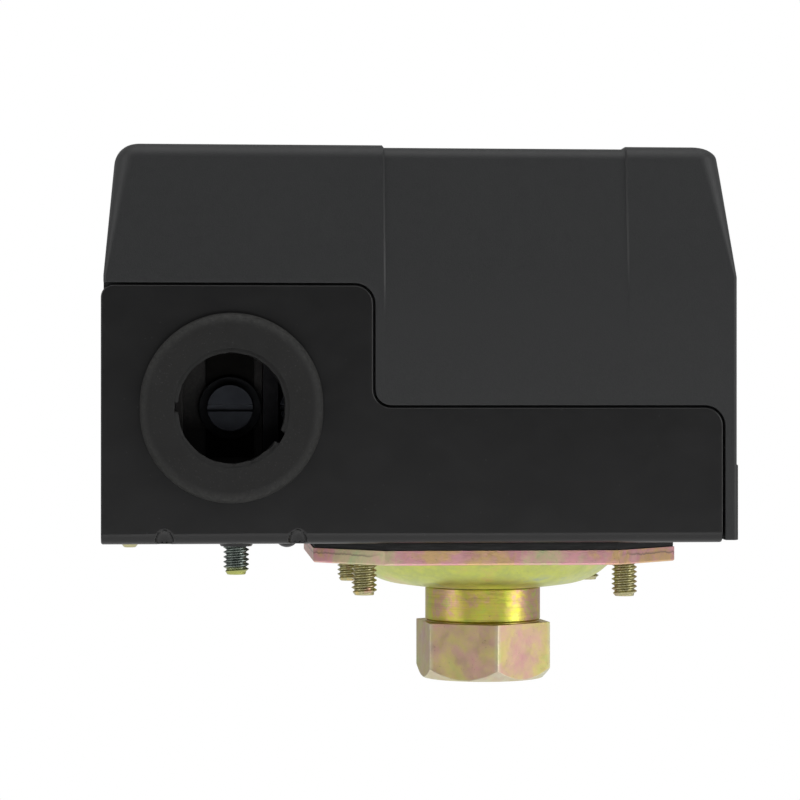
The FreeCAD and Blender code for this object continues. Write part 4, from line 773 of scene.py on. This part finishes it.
# ------------------------------------------------------------------ base, grommets, fasteners under it
def base_shell():
    """The bent sheet: floor, two walls, entry holes, dimples over the bends and the ground screw's collar."""
    half, floor, over = REAR, BASE_UNDER, TALL_TOP + MM
    section = rounded([(-half, over), (-half, floor, BEND), (half, floor, BEND), (half, over),
                       (half - SHEET, over), (half - SHEET, floor + SHEET, BEND_INSIDE),
                       (-half + SHEET, floor + SHEET, BEND_INSIDE), (-half + SHEET, over)], 8)
    piece = object_from(prism(section, BASE_LOW.x, BASE_HIGH.x, LAY_X), "base_shell")
    walls = rounded([(BASE_LOW.x, 20 * MM), (BASE_HIGH.x, 20 * MM), (BASE_HIGH.x, LOW_TOP, WALL_ROUND),
                     (STEP_X, LOW_TOP, STEP_ROUND), (STEP_X, TALL_TOP, WALL_ROUND),
                     (BASE_LOW.x, TALL_TOP, 2 * MM)], 10)
    combine(piece, "INTERSECT", prism(walls, -half - MM, half + MM, LAY_Y))
    cuts = [rod_y(ENTRY.x, ENTRY.z, ENTRY_HOLE, (-half - MM, half + MM)),
            prism(circle_points(0, 0, 9.6 * MM, 72), floor - MM, floor + 3 * MM)]
    for x in (-54.5 * MM, -33.2 * MM):
        for side in (-1, 1):
            dent = bmesh.new()
            bmesh.ops.create_uvsphere(dent, u_segments=28, v_segments=16, radius=1.55 * MM)
            spot = Matrix.Translation((x, side * (half - 0.4 * MM), floor + 0.4 * MM))
            across_bend = Matrix.Rotation(math.radians(-45 * side), 4, "X")
            dent.transform(spot @ across_bend @ Matrix.Diagonal((0.97, 1, 1.45, 1)))
            cuts.append(dent)
    combine(piece, "DIFFERENCE", *cuts)
    soften(piece, 0.3 * MM, 50, 3)
    collar = joined("collar", [moved(lathe([(2.1 * MM, floor - 0.7 * MM), (2.5 * MM, floor - 0.7 * MM),
                                            (2.65 * MM, floor - 0.5 * MM), (2.75 * MM, floor + 0.1 * MM),
                                            (2.1 * MM, floor + 0.1 * MM)], 48), -42.9 * MM, -24 * MM)])
    bpy.context.view_layer.update()
    bm = bmesh.new()
    bm.from_mesh(piece.data)
    bm.from_mesh(collar.data)
    bm.to_mesh(piece.data)
    bm.free()
    bpy.data.objects.remove(collar)
    stand_for(piece, "base_plate", 30)


def grommet_piece(node, seed):
    """A moulded grommet: soft rim, slightly oval, with ragged flash and nicks round its mouth."""
    front = node.startswith("front")
    rng = random.Random(seed)
    waves = [(rng.randint(3, 40), rng.uniform(0, math.tau), rng.uniform(0.2, 1)) for _ in range(18)]
    bore, outer, proud, rim = 8.7 * MM, 14.9 * MM, 2.8 * MM, 1.9 * MM
    behind = -(2.2 * MM + SHEET)
    body = rounded([(bore, behind), (13.4 * MM, behind, 1.0 * MM), (13.4 * MM, -SHEET - SNUG, 0.1 * MM),
                    (11.1 * MM, -SHEET - SNUG), (11.1 * MM, SNUG), (outer, SNUG, 0.2 * MM),
                    (outer, proud, rim), (bore + 0.7 * MM, proud, 0.25 * MM),
                    (bore + 0.22 * MM, proud - 0.75 * MM)], 8)
    flash = len(body)
    body += [Vector((bore - 0.02 * MM, proud - 0.85 * MM)), Vector((bore + 0.12 * MM, proud - 1.15 * MM))]
    segments = 240
    bm = bmesh.new()
    rings = []
    for index, point in enumerate(body):
        ring = []
        for k in range(segments):
            angle = math.tau * k / segments
            radius = point.x
            if index >= flash - 1:
                ragged = sum(size * math.sin(n * angle + phase) for n, phase, size in waves) / 18
                radius += ragged * 0.45 * MM
            if index == 0 or index >= flash - 2:
                degrees = math.degrees(angle)
                if 323 < degrees < 336:
                    radius += 0.9 * MM
                elif abs(degrees - 181) < 3 or abs(degrees - 176) < 1.5:
                    radius += 0.5 * MM
            radius *= 0.98 + 0.04 * abs(math.sin(angle))              # slightly oval
            ring.append(bm.verts.new((radius * math.cos(angle), radius * math.sin(angle), point.y)))
        rings.append(ring)
    for first, second in zip(rings, rings[1:] + rings[:1]):
        for k in range(segments):
            bm.faces.new((first[k], first[(k + 1) % segments], second[(k + 1) % segments], second[k]))
    bm.transform(Matrix.Rotation(math.radians(90), 4, "X"))
    if not front:
        bm.transform(Matrix.Rotation(math.pi, 4, "Z"))
    bm.transform(Matrix.Translation((ENTRY.x, FRONT if front else REAR, ENTRY.z)))
    bmesh.ops.recalc_face_normals(bm, faces=bm.faces)
    stand_for(object_from(bm, node + "_rubber"), node, 38)


def octagon(half, chamfer):
    near = half - chamfer
    return [Vector(co) for co in ((-near, -half), (near, -half), (half, -near), (half, near),
                                  (near, half), (-near, half), (-half, near), (-half, -near))]


def flange_piece():
    """Blanked plate and the drawn dome with a soft root."""
    top = DIAPHRAGM_LOW.z
    low = top - 2.4 * MM
    piece = object_from(prism(octagon(30.1 * MM, 11 * MM), low, top + MM), "flange_pressing")
    crown, knuckle, side = 100 * MM, 11 * MM, math.radians(42)      # the arcs' radii, the skirt's slope
    spigot, crown_edge, inside = 7.93 * MM, 15.5 * MM, 19 * MM
    slope = math.asin(crown_edge / crown)
    top_of_arc = 15.11 * MM + crown
    middle_r = crown_edge - knuckle * math.sin(slope)
    middle_z = top_of_arc - (crown - knuckle) * math.cos(slope)
    skirt = [(0, inside), (spigot, inside)]
    skirt += [(r, top_of_arc - math.sqrt(crown ** 2 - r ** 2))
              for r in (spigot + (crown_edge - spigot) * k / 8 for k in range(8))]
    skirt += [(middle_r + knuckle * math.sin(a), middle_z - knuckle * math.cos(a))
              for a in (slope + (side - slope) * k / 12 for k in range(13))]
    root = skirt[-1][0] + (low - skirt[-1][1]) / math.tan(side)
    skirt += [(root - 0.45 * MM, low - 0.42 * MM), (root, low - 0.16 * MM),
              (root + 0.7 * MM, low - 0.03 * MM), (root + 1.5 * MM, low + 0.02 * MM),
              (root + 1.5 * MM, low + MM), (0, low + MM)]
    combine(piece, "UNION", turned(skirt, segments=128))
    soften(piece, 0.3 * MM, 50, 3)
    combine(piece, "INTERSECT", span_box((-0.05, 0.05), (-0.05, 0.05), (0, top - SNUG)))
    stand_for(piece, "pressure_flange", 28)


def diaphragm_piece():
    sheet = prism(octagon(29.95 * MM, 10.95 * MM), DIAPHRAGM_LOW.z, BASE_UNDER - SNUG)
    piece = object_from(sheet, "diaphragm_sheet")
    soften(piece, 0.2 * MM, 40, 2)
    stand_for(piece, "diaphragm")


def port_piece():
    """Hexagon chamfered at its face, undercut neck, and the internal pipe thread."""
    corner = 21.0 / math.sqrt(3) * MM
    angles = [math.radians(-23.7) + math.tau * k / 6 for k in range(6)]
    hexagon = [Vector((corner * math.cos(angle), corner * math.sin(angle))) for angle in angles]
    piece = object_from(prism(hexagon, 0, 9.65 * MM), "port_hexagon")
    envelope = turned([(0, 0), (corner - 1.75 * MM, 0), (corner + 0.02 * MM, 1.9 * MM),
                       (corner + 0.02 * MM, 10.5 * MM), (0, 10.5 * MM)], segments=160)
    combine(piece, "INTERSECT", envelope)
    neck = turned([(0, 8 * MM), (9.65 * MM, 8 * MM), (9.65 * MM, 9.77 * MM), (9.9 * MM, 10.1 * MM),
                   (9.9 * MM, 15.3 * MM), (9.8 * MM, 15.55 * MM), (7.9 * MM, 15.45 * MM),
                   (7.9 * MM, 19.6 * MM), (0, 19.6 * MM)], segments=160)
    combine(piece, "UNION", neck)
    thread = thread_rod(-PIPE_PITCH, 12 * MM, 6.7 * MM, PIPE_PITCH, 0.72 * MM, 0, MM, 72)
    lead = turned([(0, -MM), (7.6 * MM, -MM), (7.6 * MM, 0), (6.3 * MM, 1.1 * MM), (0, 1.1 * MM)], 72)
    passage = turned([(0, 11.8 * MM), (6 * MM, 11.8 * MM), (2.4 * MM, 14 * MM),
                      (2.4 * MM, 22 * MM), (0, 22 * MM)])
    combine(piece, "DIFFERENCE", thread, lead, passage)
    soften(piece, 0.1 * MM, 55, 2)
    stand_for(piece, "port_fitting", 26)


def slotted_head(radius, low, high):
    """A cheese head with rounded rim and a screwdriver slot along X, standing on low."""
    slot_half, slot_depth = 0.5 * MM, 1.1 * MM
    corners = [(0, low), (radius, low, 0.15 * MM), (radius, high, 0.5 * MM), (0, high)]
    head = object_from(turned(rounded(corners, 5, closed=False)), "head")
    slot = span_box((-radius - MM, radius + MM), (-slot_half, slot_half), (high - slot_depth, high + MM))
    combine(head, "DIFFERENCE", slot)
    return loosened(head)


def flange_screw_set():
    """Four threaded screws seen below the flange, their slotted heads on the frame inside."""
    parts = []
    turns = iter((0.0, 0.7, 0.3, 1.2))
    for x in (-21.85 * MM, 21.3 * MM):
        for y in (-21.55 * MM, 21.55 * MM):
            spin = Matrix.Rotation(next(turns), 4, "Z")
            end = (15.6 if x < 0 and y < 0 else 15.25) * MM
            shank = thread_rod(end, 27.85 * MM, SCREW_RADIUS, SCREW_PITCH, 0.46 * MM)
            shank.transform(spin)
            head = slotted_head(3.9 * MM, 27.75 * MM, 30.35 * MM)
            parts += [moved(shank, x, y), moved(head, x, y)]
    stand_for(joined("flange_screw_set", parts), "flange_screws", 34)


def ground_screw_piece():
    low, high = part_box("ground_screw")
    x, y = (low.x + high.x) / 2, (low.y + high.y) / 2
    shank = thread_rod(low.z, 26.3 * MM, SCREW_RADIUS, SCREW_PITCH, 0.48 * MM, 0.62 * MM, 0.95 * MM)
    head = slotted_head((high.x - low.x) / 2 - 0.01 * MM, 26.25 * MM, high.z - 0.01 * MM)
    piece = joined("ground_screw_threaded", [moved(shank, x, y), moved(head, x, y)])
    stand_for(piece, "ground_screw", 34, ground_metal())


def rivet_set():
    """Rivets whose formed heads show as low domes under the base."""
    low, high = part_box("block_rivets")
    parts = []
    for y in (-22.5 * MM, 22.5 * MM):
        dome = [(0, low.z)] + [(1.6 * MM * math.sin(a), low.z + 1.15 * MM * (1 - math.cos(a)))
                               for a in (math.pi / 2 * k / 8 for k in range(1, 9))]
        shank = [(1.24 * MM, low.z + 1.2 * MM), (1.24 * MM, high.z - 1.2 * MM)]
        cap = [(2.1 * MM * math.cos(a), high.z - 1.2 * MM + 1.19 * MM * math.sin(a))
               for a in (math.pi / 2 * k / 8 for k in range(9))]
        parts.append(moved(turned(dome + shank + cap, segments=40), -34.6 * MM, y))
    stand_for(joined("rivet_set", parts), "block_rivets", 40)


# ------------------------------------------------------------------ springs
def range_spring_halves():
    """The main spring drawn in two halves."""
    low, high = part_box("range_spring")
    x, y = (low.x + high.x) / 2, (low.y + high.y) / 2
    mid = (low.z + high.z) / 2
    for name, share, ends in (("range_spring_lower", (0.0, 0.5), ("lever_unit", "switch_base", low.z, mid)),
                              ("range_spring_upper", (0.5, 1.0), ("switch_base", "seat_unit", mid, high.z))):
        coil = helix((x, y, 0), low.z, high.z, 7.8 * MM, 1.29 * MM, 6.5, share=share)
        blended_spring("range_spring", name, coil)


def blended_spring(node, name, bm):
    """A coil as a piece of its own, with the material of the node's slot, in place of the node."""
    piece = object_from(bm, name)
    shade(piece, 40)
    piece.data.materials.append(MATERIALS[SLOT_OF[node]])
    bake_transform(piece)
    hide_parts(node)


def carrier_spring_piece():
    low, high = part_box("carrier_spring")
    x, y = (low.x + high.x) / 2, (low.y + high.y) / 2
    coil = helix((x, y, 0), low.z, high.z, 2.4 * MM, 0.39 * MM, 4.5)
    blended_spring("carrier_spring", "carrier_coil", coil)


def toggle_spring_piece():
    low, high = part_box("toggle_spring")
    y, z = (low.y + high.y) / 2, (low.z + high.z) / 2
    coil = helix((0, y, z), low.x, high.x, 1.7 * MM, 0.34 * MM, 11, lay=LAY_X)
    blended_spring("toggle_spring", "toggle_coil", coil)


# ------------------------------------------------------------------ build
cover_shell()
base_shell()
grommet_piece("front_grommet", 5)
grommet_piece("rear_grommet", 8)
diaphragm_piece()
flange_piece()
port_piece()
flange_screw_set()
ground_screw_piece()
rivet_set()

ROUNDINGS = {                        # in mm
    "block_screws": 0.1, "mechanism_frame": 0.25, "pivot_pin": 0.2, "pin_rings": 0.08, "piston": 0.25,
    "main_lever": 0.25, "lower_spring_seat": 0.2, "upper_spring_seat": 0.2, "range_stud": 0.25,
    "range_nut": 0.2, "contact_block": 0.2, "load_terminals": 0.12, "line_terminals": 0.12,
    "fixed_contacts": 0.12, "wire_clamps": 0.15, "terminal_screws": 0.15, "contact_carrier": 0.2,
    "contact_bridges": 0.12, "moving_contacts": 0.12, "bridge_springs": 0.0, "carrier_yoke": 0.15,
    "cover_post": 0.2, "cover_screw": 0.2,
}
# Near-black metal for the parts deep inside the switch: painted shade, the dark of the interior put into
# their colour.
PAINTED_SHADE_METALS = {"terminal_screws": bare_metal("painted_shade_screw", (0.052, 0.056, 0.066), 0.42),
          "wire_clamps": bare_metal("painted_shade_clamp", (0.022, 0.023, 0.025), 0.45),
          "load_terminals": bare_metal("painted_shade_strap", (0.011, 0.0105, 0.010), 0.5),
          "line_terminals": bare_metal("painted_shade_strap_rear", (0.011, 0.0105, 0.010), 0.5),
          "carrier_yoke": bare_metal("painted_shade_yoke", (0.022, 0.022, 0.024), 0.5)}
for name, width in ROUNDINGS.items():
    rounded_copy(name, width * MM, PAINTED_SHADE_METALS.get(name))
range_spring_halves()
carrier_spring_piece()
toggle_spring_piece()


# ------------------------------------------------------------------ studio
def backdrop_material():
    """Pale matt floor with a slight glow."""
    look = Surface("backdrop", (0.8, 0.8, 0.8), 0.9, specular=0.1)
    tone = look.ramp(look.noise(6, 2), [(0.3, (0.79, 0.79, 0.79)), (0.7, (0.81, 0.81, 0.81))])
    look.set("Base Color", tone)
    look.shader.inputs["Emission Color"].default_value = (1, 1, 1, 1)
    look.shader.inputs["Emission Strength"].default_value = FLOOR_GLOW
    return look.material


def studio():
    """A pale floor below, white all round for the camera, and a tent that is darkest behind the camera."""
    bm = bmesh.new()
    bmesh.ops.create_circle(bm, cap_ends=True, segments=96, radius=FLOOR_RADIUS)
    bm.transform(Matrix.Translation((0, 0, FLOOR_Z)))
    floor = object_from(bm, "studio_floor")
    floor.data.materials.append(backdrop_material())

    world = bpy.data.worlds.new("studio")
    world.use_nodes = True
    bpy.context.scene.world = world
    tree = world.node_tree
    tree.nodes.clear()
    output = tree.nodes.new("ShaderNodeOutputWorld")
    choose = tree.nodes.new("ShaderNodeMixShader")
    path = tree.nodes.new("ShaderNodeLightPath")
    seen = tree.nodes.new("ShaderNodeBackground")
    seen.inputs["Strength"].default_value = 1.0
    seen.inputs["Color"].default_value = (1, 1, 1, 1)
    tent = tree.nodes.new("ShaderNodeBackground")
    where = tree.nodes.new("ShaderNodeTexCoord")
    split = tree.nodes.new("ShaderNodeSeparateXYZ")
    fade = tree.nodes.new("ShaderNodeMapRange")
    fade.interpolation_type = "SMOOTHSTEP"
    for key, value in (("From Min", -0.98), ("From Max", -0.55), ("To Min", TENT[0]), ("To Max", TENT[1])):
        fade.inputs[key].default_value = value
    tree.links.new(where.outputs["Generated"], split.inputs["Vector"])
    tree.links.new(split.outputs["Y"], fade.inputs["Value"])
    tree.links.new(fade.outputs["Result"], tent.inputs["Strength"])
    tree.links.new(path.outputs["Is Camera Ray"], choose.inputs["Fac"])
    tree.links.new(tent.outputs["Background"], choose.inputs[1])
    tree.links.new(seen.outputs["Background"], choose.inputs[2])
    tree.links.new(choose.outputs["Shader"], output.inputs["Surface"])


def softbox(name, place, target, size, power):
    data = bpy.data.lights.new(name, "AREA")
    data.shape = "RECTANGLE"
    data.size, data.size_y = size
    data.energy = power
    lamp = bpy.data.objects.new(name, data)
    bpy.context.scene.collection.objects.link(lamp)
    lamp.location = place
    lamp.rotation_euler = (Vector(target) - Vector(place)).to_track_quat("-Z", "Y").to_euler()


def camera():
    data = bpy.data.cameras.new("camera")
    data.lens = CAMERA_LENS
    data.sensor_width = 36
    seat = bpy.data.objects.new("camera", data)
    bpy.context.scene.collection.objects.link(seat)
    seat.location = CAMERA_PLACE
    seat.rotation_euler = (math.pi / 2, 0, CAMERA_TURN)
    bpy.context.scene.camera = seat


TENT = (0.07, 0.62)                  # its strength behind the camera, and all round
FLOOR_RADIUS, FLOOR_Z, FLOOR_GLOW = 0.85, -0.16, 0.38
CAMERA_PLACE, CAMERA_TURN, CAMERA_LENS = (-0.0509, -0.4811, 0.04765), math.radians(-4.35), 126
MIDDLE = (-0.012, 0, 0.045)          # what the lights point at
studio()
softbox("top_box", (0.0, -0.15, 0.6), MIDDLE, (0.7, 0.5), 1.85)
softbox("left_box", (-0.65, -0.30, 0.25), MIDDLE, (0.35, 0.6), 1.5)
softbox("right_box", (0.6, -0.35, 0.2), MIDDLE, (0.35, 0.6), 2.4)
softbox("low_box", (0.0, -0.45, -0.12), (0, 0, 0.01), (0.5, 0.12), 0.36)
camera()
bpy.context.scene.view_settings.view_transform = "Standard"
